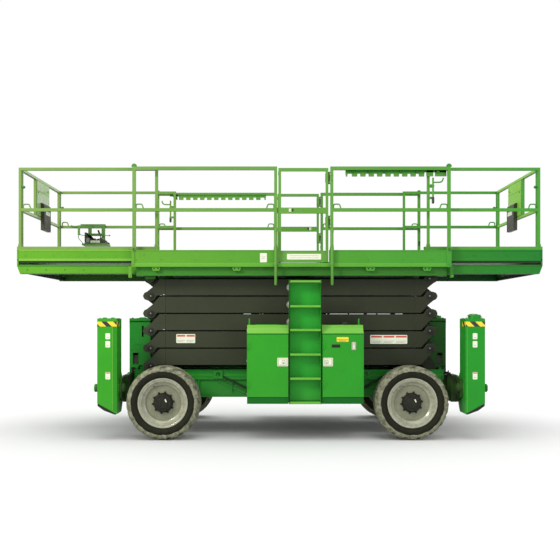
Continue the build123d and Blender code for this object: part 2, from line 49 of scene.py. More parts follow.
# ================================================================ mesh helpers
class Mesh:
    """Gathers closed pieces into one mesh, each face with a material number."""

    def __init__(self):
        self.verts, self.faces, self.mats, self.smooth = [], [], [], []

    def add(self, verts, faces, mat=0, smooth=False):
        n = len(self.verts)
        self.verts += [tuple(v) for v in verts]
        for f in faces:
            self.faces.append([n + i for i in f])
            self.mats.append(mat)
            self.smooth.append(smooth)

    def box(self, x0, x1, y0, y1, z0, z1, mat=0):
        x0, x1 = sorted((x0, x1))
        y0, y1 = sorted((y0, y1))
        z0, z1 = sorted((z0, z1))
        v = [(x, y, z) for z in (z0, z1) for y in (y0, y1) for x in (x0, x1)]
        self.add(v, [(0, 2, 3, 1), (4, 5, 7, 6), (0, 1, 5, 4), (2, 6, 7, 3), (0, 4, 6, 2), (1, 3, 7, 5)], mat)

    def prism(self, axis, pts, a, b, mat=0, smooth=False):
        """An outline in the other two axes, in order, drawn out from a to b along the axis."""
        a, b = sorted((a, b))
        area = sum(p[0] * q[1] - q[0] * p[1] for p, q in zip(pts, pts[1:] + pts[:1]))
        if (area < 0) != (axis == "y"):
            pts = pts[::-1]
        put = {"x": lambda p, t: (t, p[0], p[1]), "y": lambda p, t: (p[0], t, p[1]), "z": lambda p, t: (p[0], p[1], t)}[axis]
        n = len(pts)
        v = [put(p, a) for p in pts] + [put(p, b) for p in pts]
        self.add(v, [tuple(range(n))[::-1], tuple(range(n, 2 * n))], mat)
        k = len(self.verts) - 2 * n
        for i in range(n):
            j = (i + 1) % n
            self.faces.append([k + i, k + j, k + n + j, k + n + i])
            self.mats.append(mat)
            self.smooth.append(smooth)

    def cyl(self, axis, p, q, r, a, b, mat=0, seg=24, turn=0.0):
        """A round bar along an axis from a to b, at p, q on the other two axes in order."""
        pts = [(p + r * math.cos(turn + math.tau * i / seg), q + r * math.sin(turn + math.tau * i / seg)) for i in range(seg)]
        self.prism(axis, pts, a, b, mat, smooth=seg > 8)

    def lathe(self, axis, centre, profile, mat=0, seg=48, smooth=True, mats=None):
        """A solid of revolution: profile is (distance along the axis, radius), closed on itself."""
        n = len(profile)
        v = []
        for i in range(seg):
            t = math.tau * i / seg
            for o, r in profile:
                c, s = r * math.cos(t), r * math.sin(t)
                d = {"x": (o, c, s), "y": (c, o, s), "z": (c, s, o)}[axis]
                v.append((centre[0] + d[0], centre[1] + d[1], centre[2] + d[2]))
        k = len(self.verts)
        self.verts += v
        for i in range(seg):
            for j in range(n):
                a, b = k + i * n + j, k + i * n + (j + 1) % n
                c, d = k + ((i + 1) % seg) * n + (j + 1) % n, k + ((i + 1) % seg) * n + j
                self.faces.append([a, b, c, d])
                self.mats.append(mats[j] if mats else mat)
                self.smooth.append(smooth)

    def dome(self, axis, centre, profile, mat=0, seg=24):
        """A turned piece with its first and last profile points on the axis (radius 0)."""
        put = lambda o, c, s: {"x": (centre[0] + o, centre[1] + c, centre[2] + s), "y": (centre[0] + c, centre[1] + o, centre[2] + s),
                               "z": (centre[0] + c, centre[1] + s, centre[2] + o)}[axis]
        inner = profile[1:-1]
        v = [put(profile[0][0], 0, 0)]
        for o, r in inner:
            v += [put(o, r * math.cos(math.tau * i / seg), r * math.sin(math.tau * i / seg)) for i in range(seg)]
        v.append(put(profile[-1][0], 0, 0))
        f = []
        for i in range(seg):
            j = (i + 1) % seg
            f.append((0, 1 + i, 1 + j))
            for k in range(len(inner) - 1):
                f.append((1 + k * seg + i, 1 + (k + 1) * seg + i, 1 + (k + 1) * seg + j, 1 + k * seg + j))
            f.append((1 + (len(inner) - 1) * seg + i, len(v) - 1, 1 + (len(inner) - 1) * seg + j))
        self.add(v, f, mat, True)

    def tube(self, pts, r, mat=0, seg=10, closed=False):
        """A round tube along a line of points."""
        pts = [Vector(p) for p in pts]
        n = len(pts)
        dirs = []
        for i in range(n):
            a = pts[i - 1] if (closed or i) else pts[0]
            b = pts[(i + 1) % n] if (closed or i < n - 1) else pts[-1]
            dirs.append((b - a).normalized())
        up = Vector((0, 0, 1)) if abs(dirs[0].z) < 0.9 else Vector((1, 0, 0))
        side = dirs[0].cross(up).normalized()
        v = []
        for i in range(n):
            d = dirs[i]
            side = (side - d * side.dot(d)).normalized()
            other = d.cross(side)
            grow = 1.0
            if 0 < i < n - 1:
                c = (pts[i] - pts[i - 1]).normalized().dot(d)
                grow = 1 / max(c, 0.6)
            v += [pts[i] + (side * math.cos(math.tau * k / seg) + other * math.sin(math.tau * k / seg)) * r * (grow if grow < 1.3 else 1.3) for k in range(seg)]
        f = []
        last = n if closed else n - 1
        for i in range(last):
            j = (i + 1) % n
            for k in range(seg):
                m = (k + 1) % seg
                f.append((i * seg + k, i * seg + m, j * seg + m, j * seg + k))
        if not closed:
            f.append(tuple(range(seg))[::-1])
            f.append(tuple((n - 1) * seg + k for k in range(seg)))
        self.add(v, f, mat, True)

    def bolt(self, axis, way, p, r=0.011, h=0.008, mat=0, washer=True):
        """A hexagon head with a washer, standing on p and looking along way * axis."""
        k = "xyz".index(axis)
        rest = [p[i] for i in range(3) if i != k]
        base = p[k]
        if washer:
            self.cyl(axis, rest[0], rest[1], r * 1.45, base - way * 0.002, base + way * 0.0025, mat, 16)
        self.cyl(axis, rest[0], rest[1], r, base, base + way * h, mat, 6, rng.random())

    def make(self, name, body, mats, bevel=0.0, segments=2, angle=35):
        mesh = bpy.data.meshes.new(name)
        mesh.from_pydata([(x + DX, y, z) for x, y, z in self.verts], [], self.faces)
        mesh.update()
        for m in mats:
            mesh.materials.append(m)
        for poly, m, sm in zip(mesh.polygons, self.mats, self.smooth):
            poly.material_index = m
            poly.use_smooth = sm
        bm = bmesh.new()
        bm.from_mesh(mesh)
        bmesh.ops.recalc_face_normals(bm, faces=bm.faces)
        for e in bm.edges:
            e.smooth = len(e.link_faces) != 2 or e.calc_face_angle(0) < math.radians(32)
        bm.to_mesh(mesh)
        bm.free()
        o = bpy.data.objects.new(name, mesh)
        bpy.context.scene.collection.objects.link(o)
        if bevel:
            b = o.modifiers.new("bevel", "BEVEL")
            b.width, b.segments, b.limit_method, b.angle_limit = bevel, segments, "ANGLE", math.radians(angle)
            b.harden_normals = False
            b.use_clamp_overlap = True
        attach(o, body)
        return o


def arc(centre, r, a0, a1, n, plane="xz", other=0.0):
    """Points on an arc, angles in degrees."""
    out = []
    for i in range(n + 1):
        t = math.radians(a0 + (a1 - a0) * i / n)
        c, s = centre[0] + r * math.cos(t), centre[1] + r * math.sin(t)
        out.append({"xz": (c, other, s), "yz": (other, c, s), "xy": (c, s, other)}[plane])
    return out


# ================================================================ materials
def new_material(name):
    m = bpy.data.materials.new(name)
    m.use_nodes = True
    nt = m.node_tree
    nt.nodes.clear()
    out = nt.nodes.new("ShaderNodeOutputMaterial")
    bsdf = nt.nodes.new("ShaderNodeBsdfPrincipled")
    nt.links.new(bsdf.outputs[0], out.inputs[0])
    return m, nt, bsdf


def noise(nt, coord, scale, detail=3.0, rough=0.5, kind="ShaderNodeTexNoise"):
    n = nt.nodes.new(kind)
    n.inputs["Scale"].default_value = scale
    if "Detail" in n.inputs:
        n.inputs["Detail"].default_value = detail
    if "Roughness" in n.inputs:
        n.inputs["Roughness"].default_value = rough
    nt.links.new(coord, n.inputs["Vector"])
    return n.outputs[0]


def ramp(nt, value, lo, hi, a=0.0, b=1.0, clamp=True):
    m = nt.nodes.new("ShaderNodeMapRange")
    m.clamp = clamp
    m.inputs[1].default_value, m.inputs[2].default_value = lo, hi
    m.inputs[3].default_value, m.inputs[4].default_value = a, b
    nt.links.new(value, m.inputs[0])
    return m.outputs[0]


def mix(nt, fac, a, b):
    m = nt.nodes.new("ShaderNodeMix")
    m.data_type = "RGBA"
    for sock, val in ((m.inputs[0], fac), (m.inputs[6], a), (m.inputs[7], b)):
        if hasattr(val, "links"):
            nt.links.new(val, sock)
        elif isinstance(val, (int, float)):
            sock.default_value = val
        else:
            sock.default_value = (*val, 1.0)
    return m.outputs[2]


def lighten(nt, fac, colour, times, plus=0.0):
    """Moves a colour towards a brighter version of itself."""
    m = nt.nodes.new("ShaderNodeVectorMath")
    m.operation = "MULTIPLY_ADD"
    nt.links.new(colour, m.inputs[0])
    m.inputs[1].default_value = (times, times, times)
    m.inputs[2].default_value = (plus, plus, plus)
    return mix(nt, fac, colour, m.outputs[0])


def math_node(nt, op, a, b):
    m = nt.nodes.new("ShaderNodeMath")
    m.operation = op
    for i, val in enumerate((a, b)):
        if op == "SIGN" and i:
            continue
        if hasattr(val, "links"):
            nt.links.new(val, m.inputs[i])
        else:
            m.inputs[i].default_value = val
    return m.outputs[0]


def bump(nt, bsdf, height, strength, distance=0.001):
    b = nt.nodes.new("ShaderNodeBump")
    b.inputs["Strength"].default_value = strength
    b.inputs["Distance"].default_value = distance
    nt.links.new(height, b.inputs["Height"])
    nt.links.new(b.outputs[0], bsdf.inputs["Normal"])


def paint(name, left, right=None, dark=None, rough=0.42, coat=0.25, peel=0.06, dust=0.10, dust_colour=(0.30, 0.30, 0.22),
          metallic=0.0, edge=0.16, low_dirt=0.0, spec=0.10, under=0.85, inward_shade=0.0):
    """Sprayed paint: a slow colour drift from a lighter left end to a darker right one, which paints in light falling
    from the left, faint mottling, orange peel, lighter rubbed edges, a little dust on what faces up, and painted shade
    on what faces down and, where asked, on what faces the machine's middle."""
    m, nt, bsdf = new_material(name)
    right = right or left
    tc = nt.nodes.new("ShaderNodeTexCoord")
    xyz = nt.nodes.new("ShaderNodeSeparateXYZ")
    nt.links.new(tc.outputs["Object"], xyz.inputs[0])
    # painted light: the left end's colour is lighter where the light falls and the right end's is darker, in a drift
    # along X
    colour = mix(nt, ramp(nt, xyz.outputs[0], -2.9, 3.0), left, right)
    big = noise(nt, tc.outputs["Object"], 2.3, 4)
    colour = lighten(nt, ramp(nt, big, 0.40, 0.72, 0.0, 0.40), colour, 0.78) if not dark else mix(nt, ramp(nt, big, 0.42, 0.72, 0.0, 0.34), colour, dark)
    fine = noise(nt, tc.outputs["Object"], 38.0, 5, 0.6)
    colour = lighten(nt, ramp(nt, fine, 0.52, 0.78, 0.0, 0.30), colour, 1.30, 0.004)
    # rubbed edges
    geo = nt.nodes.new("ShaderNodeNewGeometry")
    bev = nt.nodes.new("ShaderNodeBevel")
    bev.samples = 3
    bev.inputs["Radius"].default_value = 0.004
    dot = nt.nodes.new("ShaderNodeVectorMath")
    dot.operation = "DOT_PRODUCT"
    nt.links.new(bev.outputs[0], dot.inputs[0])
    nt.links.new(geo.outputs["Normal"], dot.inputs[1])
    rub = ramp(nt, dot.outputs["Value"], 0.985, 0.88, 0.0, edge)
    patch = ramp(nt, noise(nt, tc.outputs["Object"], 17.0, 4), 0.40, 0.62, 0.15, 1.0)
    colour = lighten(nt, math_node(nt, "MULTIPLY", rub, patch), colour, 1.7, 0.10)
    # dust on what faces up
    nz = nt.nodes.new("ShaderNodeSeparateXYZ")
    nt.links.new(geo.outputs["Normal"], nz.inputs[0])
    up = ramp(nt, nz.outputs[2], 0.55, 0.98)
    cloud = ramp(nt, noise(nt, tc.outputs["Object"], 9.0, 6, 0.65), 0.35, 0.75, 0.15, 1.0)
    colour = mix(nt, math_node(nt, "MULTIPLY", math_node(nt, "MULTIPLY", up, cloud), dust), colour, dust_colour)
    if low_dirt:
        low = ramp(nt, xyz.outputs[2], 0.75, 0.30)
        colour = mix(nt, math_node(nt, "MULTIPLY", math_node(nt, "MULTIPLY", low, cloud), low_dirt), colour, (0.14, 0.13, 0.09))
    # painted shade on what faces down
    down = ramp(nt, nz.outputs[2], -0.45, -0.95)
    colour = mix(nt, math_node(nt, "MULTIPLY", down, under), colour, tuple(c * 0.16 + 0.003 for c in right))
    if inward_shade:
        # painted shade on what faces the machine's middle
        side = math_node(nt, "SIGN", xyz.outputs[1], 0.0)
        turned = ramp(nt, math_node(nt, "MULTIPLY", nz.outputs[1], side), -0.35, -0.80)
        colour = mix(nt, math_node(nt, "MULTIPLY", turned, inward_shade), colour, tuple(c * 0.22 + 0.003 for c in right))
    nt.links.new(colour, bsdf.inputs["Base Color"])
    nt.links.new(ramp(nt, fine, 0.3, 0.7, rough - 0.06, rough + 0.08), bsdf.inputs["Roughness"])
    bsdf.inputs["Metallic"].default_value = metallic
    bsdf.inputs["Specular IOR Level"].default_value = spec
    bsdf.inputs["Coat Weight"].default_value = coat * 0.25
    bsdf.inputs["Coat Roughness"].default_value = 0.20
    bump(nt, bsdf, noise(nt, tc.outputs["Object"], 260.0, 2), peel, 0.0006)
    return m


def plain(name, colour, rough=0.5, metallic=0.0, coat=0.0, vary=0.25, scale=60.0, bump_scale=180.0, bump_by=0.08, spec=0.5, second=None):
    """A moulded, cast or plated surface with mottled colour and a fine grain."""
    m, nt, bsdf = new_material(name)
    tc = nt.nodes.new("ShaderNodeTexCoord")
    n = noise(nt, tc.outputs["Object"], scale, 5, 0.6)
    c = mix(nt, ramp(nt, n, 0.35, 0.70, 0.0, 1.0), tuple(c * (1 - vary) for c in colour), second or tuple(min(1, c * (1 + vary * 0.6)) for c in colour))
    nt.links.new(c, bsdf.inputs["Base Color"])
    nt.links.new(ramp(nt, n, 0.3, 0.7, max(0.03, rough - 0.07), min(1, rough + 0.09)), bsdf.inputs["Roughness"])
    bsdf.inputs["Metallic"].default_value = metallic
    bsdf.inputs["Coat Weight"].default_value = coat
    bsdf.inputs["Specular IOR Level"].default_value = spec
    bump(nt, bsdf, noise(nt, tc.outputs["Object"], bump_scale, 3), bump_by, 0.001)
    return m


M = {}
# Each paint's left and right colours paint in the light: lighter at the left end, where the light falls, and darker at
# the right one. The tower's right colour is near black, a painted shadow on the rear tower.
M["deck"] = paint("deck_green_paint", (0.095, 0.300, 0.016), (0.008, 0.155, 0.016), coat=0.30, rough=0.40, inward_shade=0.75)
M["main_deck"] = paint("main_deck_paint", (0.112, 0.292, 0.024), (0.032, 0.235, 0.026), coat=0.30, rough=0.40, inward_shade=0.60)
M["rail"] = paint("rail_green_paint", (0.155, 0.268, 0.062), (0.052, 0.262, 0.026), coat=0.25, rough=0.42, peel=0.04)
# darker copy of the rail green: painted shade
M["rail_dark"] = paint("rail_shade_paint", (0.040, 0.190, 0.026), (0.018, 0.165, 0.020), coat=0.15, rough=0.46)
# lighter copies of the deck greens for lips and creases: painted highlight
M["lip"] = paint("lip_highlight_green", (0.165, 0.370, 0.040), (0.085, 0.345, 0.036), coat=0.30, rough=0.36, edge=0.05)
M["lip_main"] = paint("main_lip_highlight_paint", (0.120, 0.330, 0.030), (0.064, 0.290, 0.028), coat=0.30, rough=0.36, edge=0.05)
M["body"] = paint("body_green_paint", (0.036, 0.292, 0.013), (0.010, 0.228, 0.017), coat=0.32, rough=0.36, low_dirt=0.08)
# darker copies of the body green: painted shade
M["body_shade"] = paint("body_shade_paint", (0.022, 0.215, 0.013), (0.010, 0.200, 0.016), coat=0.3, rough=0.36, edge=0.05)
M["body_low"] = paint("body_low_shade_paint", (0.012, 0.160, 0.016), (0.006, 0.110, 0.014), coat=0.2, rough=0.42)
M["tower"] = paint("tower_green_paint", (0.018, 0.250, 0.026), (0.014, 0.052, 0.009), coat=0.25, rough=0.40, low_dirt=0.10)
M["ladder"] = paint("ladder_green_paint", (0.030, 0.350, 0.026), (0.016, 0.290, 0.026), coat=0.25, rough=0.42, low_dirt=0.22)
M["chassis"] = paint("chassis_green_paint", (0.016, 0.240, 0.022), (0.010, 0.150, 0.016), coat=0.2, rough=0.46, low_dirt=0.35, dust=0.2, inward_shade=0.6)
M["subframe"] = paint("subframe_green_paint", (0.042, 0.200, 0.020), (0.024, 0.130, 0.015), coat=0.2, rough=0.44, dust=0.15, inward_shade=0.7)
# darker than the chassis green: painted shade behind the outrigger legs, with real dirt low down as well
M["carrier"] = paint("carrier_green_paint", (0.026, 0.100, 0.013), (0.022, 0.062, 0.012), coat=0.15, rough=0.50, low_dirt=0.45, dust=0.25)
# near-black green for strips, pads, plates and eyes that stand where there is only shade: painted shade
M["shade"] = plain("painted_shade_green", (0.010, 0.030, 0.007), 0.60, vary=0.4, scale=20, spec=0.2)
M["scissor"] = paint("scissor_paint", (0.040, 0.047, 0.028), (0.021, 0.024, 0.013), dark=(0.020, 0.023, 0.013), coat=0.12, rough=0.50, dust=0.16,
                     dust_colour=(0.12, 0.12, 0.09), edge=0.25)
M["black"] = plain("black_steel", (0.012, 0.012, 0.010), 0.55, spec=0.25)
M["cast"] = plain("cast_iron", (0.026, 0.027, 0.020), 0.66, vary=0.4, scale=24, bump_by=0.25, bump_scale=120, spec=0.25)
M["hub"] = plain("hub_iron", (0.014, 0.015, 0.009), 0.55, vary=0.4, scale=30, bump_by=0.15, spec=0.2)
M["rim"] = plain("rim_paint", (0.158, 0.166, 0.098), 0.34, coat=0.35, vary=0.20, scale=14, bump_by=0.04, bump_scale=240, spec=0.5)
# lighter copy of the rim paint for its flange and cone: painted highlight
M["rim_lip"] = plain("rim_lip_highlight_paint", (0.275, 0.282, 0.200), 0.28, coat=0.40, vary=0.18, scale=18, bump_by=0.04, spec=0.6)
M["rubber"] = plain("tyre_rubber", (0.013, 0.014, 0.007), 0.78, vary=0.35, scale=22, bump_by=0.22, bump_scale=260, spec=0.15)
M["tread"] = plain("tyre_tread_worn", (0.200, 0.205, 0.140), 0.92, vary=0.50, scale=26, bump_by=0.35, bump_scale=150, spec=0.12)
M["zinc"] = plain("zinc_plate", (0.50, 0.50, 0.46), 0.38, metallic=0.85, vary=0.2, scale=90)
M["chrome"] = plain("hard_chrome", (0.72, 0.72, 0.74), 0.10, metallic=1.0, vary=0.06, scale=30, bump_by=0.01)
M["white"] = plain("label_white", (0.66, 0.68, 0.55), 0.42, vary=0.06, scale=40, bump_by=0.01)
M["cream"] = plain("label_cream", (0.60, 0.62, 0.46), 0.45, vary=0.08, scale=30, bump_by=0.01)
M["red"] = plain("label_red", (0.52, 0.055, 0.025), 0.45, vary=0.12, scale=40, bump_by=0.01)
M["yellow"] = plain("hazard_yellow", (0.72, 0.56, 0.02), 0.42, vary=0.10, scale=25, bump_by=0.02)
M["hazard_black"] = plain("hazard_black", (0.012, 0.012, 0.012), 0.42, vary=0.2, scale=25, bump_by=0.02)
M["plastic"] = plain("black_plastic", (0.020, 0.021, 0.019), 0.50, vary=0.25, scale=50, bump_by=0.18, bump_scale=420)
M["hose"] = plain("hose_rubber", (0.014, 0.014, 0.013), 0.60, vary=0.3, scale=70, bump_by=0.15)
M["grey"] = plain("grey_plastic", (0.22, 0.22, 0.20), 0.5, vary=0.12, scale=50)
M["latch_grey"] = plain("latch_grey", (0.36, 0.39, 0.27), 0.42, vary=0.10, scale=50)
M["olive"] = plain("olive_plastic", (0.032, 0.032, 0.018), 0.46, vary=0.22, scale=30, bump_by=0.10, bump_scale=320, spec=0.35)
# pale glossy greens for the extension decks' end frames: painted sheen, paler still at the front as a painted
# reflection
M["end_plate_front"] = plain("end_plate_front_reflection_paint", (0.400, 0.520, 0.270), 0.30, coat=0.3, vary=0.10, scale=3.0, bump_by=0.01, second=(0.26, 0.44, 0.13))
M["end_plate_rear"] = plain("end_plate_rear_sheen_paint", (0.210, 0.480, 0.035), 0.55, coat=0.0, vary=0.08, scale=3.0, bump_by=0.01, second=(0.180, 0.430, 0.032))
M["mount"] = paint("mount_green_paint", (0.105, 0.240, 0.055), (0.105, 0.240, 0.055), coat=0.25, rough=0.40)
M["amber"] = plain("amber_lens", (0.70, 0.22, 0.01), 0.16, coat=0.5, vary=0.1, scale=30, bump_by=0.01)


def tread_plate(name, base):
    """Deck floor paint over the checker plate, with worn dull patches where feet go."""
    m, nt, bsdf = new_material(name)
    tc = nt.nodes.new("ShaderNodeTexCoord")
    n = noise(nt, tc.outputs["Object"], 3.0, 6, 0.6)
    c = mix(nt, ramp(nt, n, 0.4, 0.7, 0.0, 0.55), base, (0.11, 0.20, 0.06))
    f = noise(nt, tc.outputs["Object"], 60.0, 4)
    c = mix(nt, ramp(nt, f, 0.5, 0.75, 0.0, 0.30), c, (0.22, 0.24, 0.16))
    nt.links.new(c, bsdf.inputs["Base Color"])
    nt.links.new(ramp(nt, n, 0.3, 0.7, 0.42, 0.62), bsdf.inputs["Roughness"])
    bump(nt, bsdf, f, 0.15)
    return m


M["floor_plate"] = tread_plate("checker_plate_paint", (0.060, 0.300, 0.030))

# CAD nodes keep their shape: they get a paint, and a small rounding of their edges
NODE_LOOK = {
    "chassis_frame": ("chassis", 0.003), "tie_down_lugs": ("chassis", 0.003),
    "outrigger_carrier": ("carrier", 0.004), "end_tower": ("tower", 0.003), "outrigger_leg": ("body", 0.007),
    "front_axle": ("cast", 0.006), "rear_axle": ("cast", 0.006), "steering_knuckle": ("cast", 0.006),
    "cabinet_door": ("body", 0.004), "cabinet": ("body", 0.004), "engine_block": ("cast", 0.008),
    "entry_ladder": ("ladder", 0.002), "scissor_arm": ("scissor", 0.004),
    "lift_cylinder_barrel": ("black", 0.003), "lift_cylinder_rod": ("chrome", 0.003),
    "main_deck": ("main_deck", 0.002), "platform_subframe": ("subframe", 0.002), "guardrail": ("rail", 0.004),
    "entry_gate": ("rail", 0.004), "extension_deck": ("deck", 0.002), "extension_guardrail": ("rail", 0.004),
    "document_box": ("olive", 0.004), "control_console": ("mount", 0.003),
    "tyre": ("rubber", 0), "rim": ("rim", 0),
}
for node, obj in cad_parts.items():
    key = max((k for k in NODE_LOOK if node.startswith(k)), key=len)
    look, width = NODE_LOOK[key]
    obj.data.materials.clear()
    obj.data.materials.append(M[look])
    if key in ("cabinet", "cabinet_door"):
        # painted highlight on the sloping shoulder, in the lighter lip green, and painted shade on the sill under the
        # doors, in the darker low body green
        obj.data.materials.append(M["lip"])
        obj.data.materials.append(M["body_low"])
        for poly in obj.data.polygons:
            c = obj.matrix_world @ poly.center
            n = poly.normal
            if n.z > 0.3 and abs(n.y) > 0.3 and c.z > 1.18:
                poly.material_index = 1
            elif c.z < 0.490 and abs(c.y) > 1.0:
                poly.material_index = 2
    if key == "platform_subframe":
        # the pin ears inside the frame share the arms' dark paint
        obj.data.materials.append(M["scissor"])
        for poly in obj.data.polygons:
            c = obj.matrix_world @ poly.center
            if c.z < 1.880 and abs(c.y) < 0.80:
                poly.material_index = 1
    if key == "control_console":
        # dark box on a green hooked frame and tray
        obj.data.materials.append(M["olive"])
        for poly in obj.data.polygons:
            c = obj.matrix_world @ poly.center
            if c.y < 0.772 and c.z > 2.3952:
                poly.material_index = 1
    if width:
        w = obj.modifiers.new("weld", "WELD")
        w.merge_threshold = 0.00002
        b = obj.modifiers.new("bevel", "BEVEL")
        b.width, b.segments, b.limit_method, b.angle_limit = width, 2, "ANGLE", math.radians(40)
        b.use_clamp_overlap = True


# ================================================================ wheels
FRONT_X, REAR_X, TRACK, HUB_Z = -1.4525, 1.3725, 0.9875, 0.419


def tyre(end, side, x, s):
    k = Mesh()
    c = (x, s * TRACK, HUB_Z)
    half = [(0.1180, 0.2555), (0.1205, 0.2700), (0.1245, 0.2840), (0.1380, 0.2980), (0.1490, 0.3140), (0.1515, 0.3320),
            (0.1505, 0.3470), (0.1470, 0.3560), (0.1500, 0.3600), (0.1475, 0.3700), (0.1385, 0.3890), (0.1180, 0.3960), (0.0600, 0.3985)]
    prof = [(-o, r) for o, r in half] + [(0.0, 0.3990)] + [(o, r) for o, r in half[::-1]] + [(0.06, 0.2545), (-0.06, 0.2545)]
    mats = []
    for j in range(len(prof)):
        r = (prof[j][1] + prof[(j + 1) % len(prof)][1]) / 2
        mats.append(1 if r > 0.3585 else 0)
    k.lathe("y", c, prof, seg=96, mats=mats)
    # lugs: each runs from the middle round the shoulder and a little way down the sidewall
    N = 17
    path = [(0.006, 0.4185, 0.00), (0.045, 0.4190, 0.055), (0.085, 0.4185, 0.105), (0.112, 0.4160, 0.135), (0.134, 0.4060, 0.150), (0.1465, 0.3880, 0.158),
            (0.1510, 0.3680, 0.162), (0.1500, 0.3610, 0.164)]
    width = [0.050, 0.062, 0.074, 0.086, 0.094, 0.098, 0.096, 0.086]
    for hand in (-1, 1):
        for i in range(N):
            base = math.tau * (i + (0.25 if hand > 0 else -0.25)) / N
            v, f = [], []
            for (o, r, shift), w in zip(path, width):
                inner = r - 0.022 if o < 0.12 else r - 0.014
                oo = o if o < 0.12 else o - 0.012
                for rr, ow, grow in ((r, o, 1.0), (inner, oo, 1.16)):
                    for e in (-1, 1):
                        t = base + shift / 0.419 * 1.0 + e * w * grow / 2 / 0.419
                        v.append((c[0] + rr * math.cos(t), c[1] + hand * ow, c[2] + rr * math.sin(t)))
            for j in range(len(path) - 1):
                a, b = j * 4, j * 4 + 4
                f += [(a, a + 1, b + 1, b), (a + 1, a + 3, b + 3, b + 1), (a + 3, a + 2, b + 2, b + 3), (a + 2, a, b, b + 2)]
            e = (len(path) - 1) * 4
            f += [(0, 2, 3, 1), (e, e + 1, e + 3, e + 2)]
            k.add(v, f, 1)
    # moulded rings and a bead line on both sidewalls
    for hand in (-1, 1):
        for r, o, w in ((0.2905, 0.1335, 0.0022), (0.3400, 0.1512, 0.0018), (0.3530, 0.1488, 0.0022)):
            k.lathe("y", c, [(hand * (o - 0.003), r - w), (hand * (o + 0.0012), r), (hand * (o - 0.003), r + w)], 0, 96)
    o = k.make(f"tyre_{end}_{side}_treaded", f"wheel_{end}_{side}", [M["rubber"], M["tread"]])
    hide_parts(f"tyre_{end}_{side}")


def rim(end, side, x, s):
    k = Mesh()
    c = (x, s * TRACK, HUB_Z)
    q = s  # outboard
    prof = [
        (-0.127, 0.246), (-0.1275, 0.272), (-0.1255, 0.2775), (-0.1215, 0.2760), (-0.1195, 0.2545), (0.1195, 0.2545), (0.1215, 0.2790),
        (0.1250, 0.2840), (0.1285, 0.2835), (0.1300, 0.2790), (0.1290, 0.2700), (0.1250, 0.2640), (0.1180, 0.2620), (0.1165, 0.2560),
        (0.1190, 0.2520), (0.1180, 0.2460), (0.1060, 0.2360), (0.0880, 0.2180), (0.0820, 0.2080), (0.0835, 0.2030), (0.0815, 0.1980), (0.0740, 0.1940),
        (0.0720, 0.1880), (0.0755, 0.1500), (0.0765, 0.1080), (0.0765, 0.0700), (0.0640, 0.0700), (0.0640, 0.1900), (0.0480, 0.2140),
        (0.0420, 0.2350), (0.0300, 0.2440),
    ]
    # the outer flange and the barrel's cone take the lighter lip paint: painted highlight
    lip = [1 if 5 <= j <= 17 else 0 for j in range(len(prof))]
    k.lathe("y", c, [(q * o, r) for o, r in prof], seg=96, mats=lip)
    # valve stem
    a = math.radians(118)
    vx, vz = c[0] + 0.212 * math.cos(a), c[2] + 0.212 * math.sin(a)
    k.tube([(vx, c[1] + q * 0.080, vz), (vx, c[1] + q * 0.102, vz), (vx - 0.004, c[1] + q * 0.118, vz - 0.002)], 0.0045, 2, 8)
    o = k.make(f"rim_{end}_{side}_pressed", f"wheel_{end}_{side}", [M["rim"], M["rim_lip"], M["black"]])
    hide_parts(f"rim_{end}_{side}")
    # hub: a dark planetary cover with its ring of nuts
    h = Mesh()
    y = lambda d: c[1] + q * d
    h.dome("y", c, [(q * 0.066, 0), (q * 0.066, 0.113), (q * 0.082, 0.113), (q * 0.087, 0.109), (q * 0.112, 0.099), (q * 0.118, 0.093), (q * 0.1205, 0.064),
                    (q * 0.1265, 0.058), (q * 0.1275, 0.034), (q * 0.1275, 0)], 0, 48)
    for i in range(10):
        t = math.tau * (i + 0.2) / 10
        nx, nz = c[0] + 0.1175 * math.cos(t), c[2] + 0.1175 * math.sin(t)
        h.cyl("y", nx, nz, 0.0135, y(0.074), y(0.079), 0, 20)
        h.cyl("y", nx, nz, 0.0105, y(0.078), y(0.094), 0, 6, t)
        h.cyl("y", nx, nz, 0.0060, y(0.088), y(0.101), 1, 12)
    for i in range(8):
        t = math.tau * (i + 0.5) / 8
        h.bolt("y", q, (c[0] + 0.079 * math.cos(t), y(0.1205), c[2] + 0.079 * math.sin(t)), 0.0065, 0.007, 0)
    # drain plug, and a small white plate as a painted highlight on the cover
    h.cyl("y", c[0] - 0.030, c[2] - 0.026, 0.010, y(0.124), y(0.133), 0, 6)
    w = [(0.021, 0.040), (0.033, 0.046), (0.048, 0.014), (0.036, 0.008)]
    h.prism("y", [(c[0] + a, c[2] + b) for a, b in w], y(0.1255), y(0.1300), 2)
    h.make(f"hub_cover_{end}_{side}", f"wheel_{end}_{side}", [M["hub"], M["cast"], M["white"]], bevel=0.0012)


for end, x in (("front", FRONT_X), ("rear", REAR_X)):
    for side, s in SIDES:
        tyre(end, side, x, s)
        rim(end, side, x, s)


# ================================================================ outrigger legs
def label(k, s, x0, x1, face, z0, z1, mat=0, proud=0.0012):
    """A thin plate with rounded corners on a side face at |y| = face."""
    r = min(0.008, (x1 - x0) / 4, (z1 - z0) / 4)
    pts = []
    for cx, cz, a in ((x1 - r, z1 - r, 0), (x0 + r, z1 - r, 90), (x0 + r, z0 + r, 180), (x1 - r, z0 + r, 270)):
        pts += [(cx + r * math.cos(math.radians(a + t)), cz + r * math.sin(math.radians(a + t))) for t in (0, 45, 90)]
    k.prism("y", pts, s * (face - 0.0005), s * (face + proud), mat)


